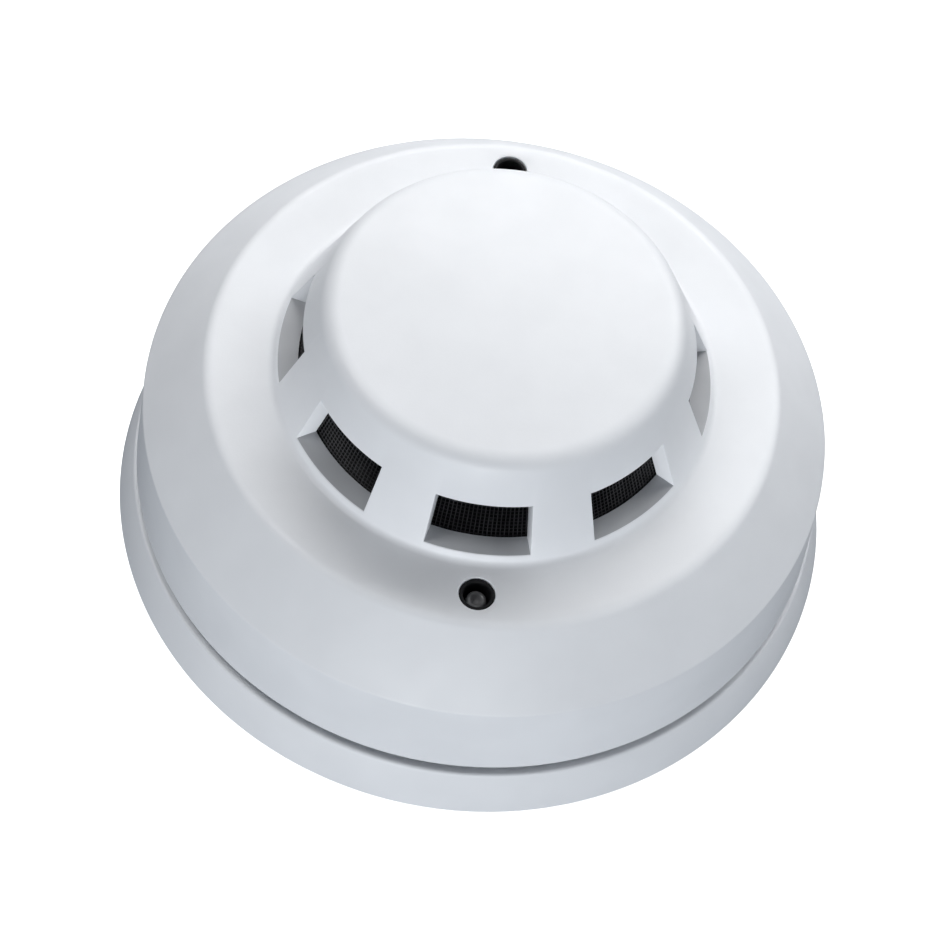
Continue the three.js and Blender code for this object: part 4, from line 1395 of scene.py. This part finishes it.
for number in range(1, RESISTOR_COUNT + 1):
    rings = [((i - 1) * COLOUR_SPACING, BAND_COLOURS[(i + number) % COLOUR_COUNT])
             for i in range(COLOUR_COUNT)]
    attach(axial_component(f"resistor_{number}", *RESISTOR, LACQUER, rings),
           "head", f"resistor_{number}")
attach(thermistor("sensing_thermistor", SENSING_BEAD), "head", "sensing_thermistor")
attach(thermistor("reference_thermistor", REFERENCE_BEAD), "head", "reference_thermistor")


# ------------------------ floor, lights and camera

FLOOR_RADIUS = 8.0
WALL_HEIGHT = 6.0
SKY_STRENGTH = 1.0

# The sky's colour at shares of the way from straight down, through the horizon at 0.5, to straight up.
SKY_STOPS = [
    (0.0, (0.21, 0.235, 0.27)),
    (0.5, (0.13, 0.145, 0.165)),
    (1.0, (0.05, 0.055, 0.062)),
]

# The camera, fitted to the photo's rings.
CAMERA_AZIMUTH = math.radians(-5.17)
CAMERA_ELEVATION = math.radians(58.3)
CAMERA_ROLL = math.radians(10.66)
CAMERA_TILT = math.radians(0.32)
CAMERA_DISTANCE = 453.6 * MM
TARGET_HEIGHT = 0.86 * MM
SENSOR_WIDTH = 36
LENS_LENGTH = 113.7
NEAREST_SEEN = 0.01

WHITE_LIGHT = (1.0, 1.0, 1.0)
COOL_LIGHT = (0.95, 0.975, 1.0)

# Name, azimuth and elevation in degrees, distance, width, height, power and colour of each soft light.
# Azimuth 0 is in front, and 90 is on the right.
LIGHTS = [
    ("back", 165, 41, 1.1, 1.5, 0.36, 13.5, WHITE_LIGHT),
    ("front", -3, 6, 1.2, 0.8, 0.3, 9.6, COOL_LIGHT),
    ("left", -104, 60, 1.1, 0.4, 0.4, 2.7, WHITE_LIGHT),
    ("right", 105, 25, 1.1, 0.5, 0.4, 1.2, COOL_LIGHT),
]


def floor_material():
    material, shader = new_material("pale_floor")
    tint(material, add_noise(material, 6), shader, (0.93, 0.93, 0.93), (0.95, 0.95, 0.95))
    set_inputs(shader, Roughness=0.9, Emission_Color=(1, 1, 1, 1), Emission_Strength=1.0)
    return material


def build_floor():
    """A wide pale floor that curves up into a wall all round. It neither tints nor shades the object."""
    level = base_low.z - 0.02 * MM
    outline = rounded([(0, level, 0), (FLOOR_RADIUS, level, 1.0), (FLOOR_RADIUS, level + WALL_HEIGHT, 0)], 12)
    floor = to_object("floor", turned(outline, 64, closed=False), floor_material())
    floor.visible_diffuse = False
    floor.visible_glossy = False
    floor.visible_shadow = False


def build_world():
    """A soft sky that gets darker from the ground to the zenith."""
    world = bpy.data.worlds.new("studio")
    bpy.context.scene.world = world
    world.use_nodes = True
    nodes, links = world.node_tree.nodes, world.node_tree.links
    background = nodes["Background"]
    place = nodes.new("ShaderNodeTexCoord")
    split = nodes.new("ShaderNodeSeparateXYZ")
    height = nodes.new("ShaderNodeMapRange")
    height.inputs["From Min"].default_value = -1
    ramp = nodes.new("ShaderNodeValToRGB")
    links.new(place.outputs["Generated"], split.inputs["Vector"])
    links.new(split.outputs["Z"], height.inputs["Value"])
    links.new(height.outputs["Result"], ramp.inputs["Fac"])
    links.new(ramp.outputs["Color"], background.inputs["Color"])
    stops = ramp.color_ramp.elements
    stops[0].position, stops[0].color = SKY_STOPS[0][0], (*SKY_STOPS[0][1], 1)
    stops[1].position, stops[1].color = SKY_STOPS[-1][0], (*SKY_STOPS[-1][1], 1)
    for position, colour in SKY_STOPS[1:-1]:
        stops.new(position).color = (*colour, 1)
    background.inputs["Strength"].default_value = SKY_STRENGTH


def direction_of(azimuth, elevation):
    """The way from the object to a place in the studio. Azimuth 0 is in front."""
    level = math.cos(elevation)
    return Vector((math.sin(azimuth) * level, -math.cos(azimuth) * level, math.sin(elevation)))


def area_light(name, azimuth, elevation, distance, width, height, power, colour):
    """A rectangular soft light, aimed at the object."""
    light = bpy.data.lights.new(name, "AREA")
    light.shape = "RECTANGLE"
    light.size = width
    light.size_y = height
    light.energy = power
    light.color = colour
    obj = bpy.data.objects.new(name, light)
    direction = direction_of(math.radians(azimuth), math.radians(elevation))
    obj.location = direction * distance
    obj.rotation_mode = "QUATERNION"
    obj.rotation_quaternion = direction.to_track_quat("Z", "Y")
    bpy.context.scene.collection.objects.link(obj)


def build_camera():
    """The camera stands in front and above, and is rolled a little."""
    back = direction_of(CAMERA_AZIMUTH, CAMERA_ELEVATION)
    camera = bpy.data.objects.new("camera", bpy.data.cameras.new("camera"))
    camera.data.sensor_width = SENSOR_WIDTH
    camera.data.lens = LENS_LENGTH
    camera.data.clip_start = NEAREST_SEEN
    camera.location = Vector((0, 0, TARGET_HEIGHT)) + back * CAMERA_DISTANCE
    camera.rotation_mode = "QUATERNION"
    camera.rotation_quaternion = ((-back).to_track_quat("-Z", "Y") @ Quaternion((1, 0, 0), CAMERA_TILT)
                                  @ Quaternion((0, 0, 1), CAMERA_ROLL))
    bpy.context.scene.collection.objects.link(camera)
    bpy.context.scene.camera = camera


build_floor()
build_world()
for light_facts in LIGHTS:
    area_light(*light_facts)
build_camera()
bpy.context.scene.view_settings.view_transform = "Standard"
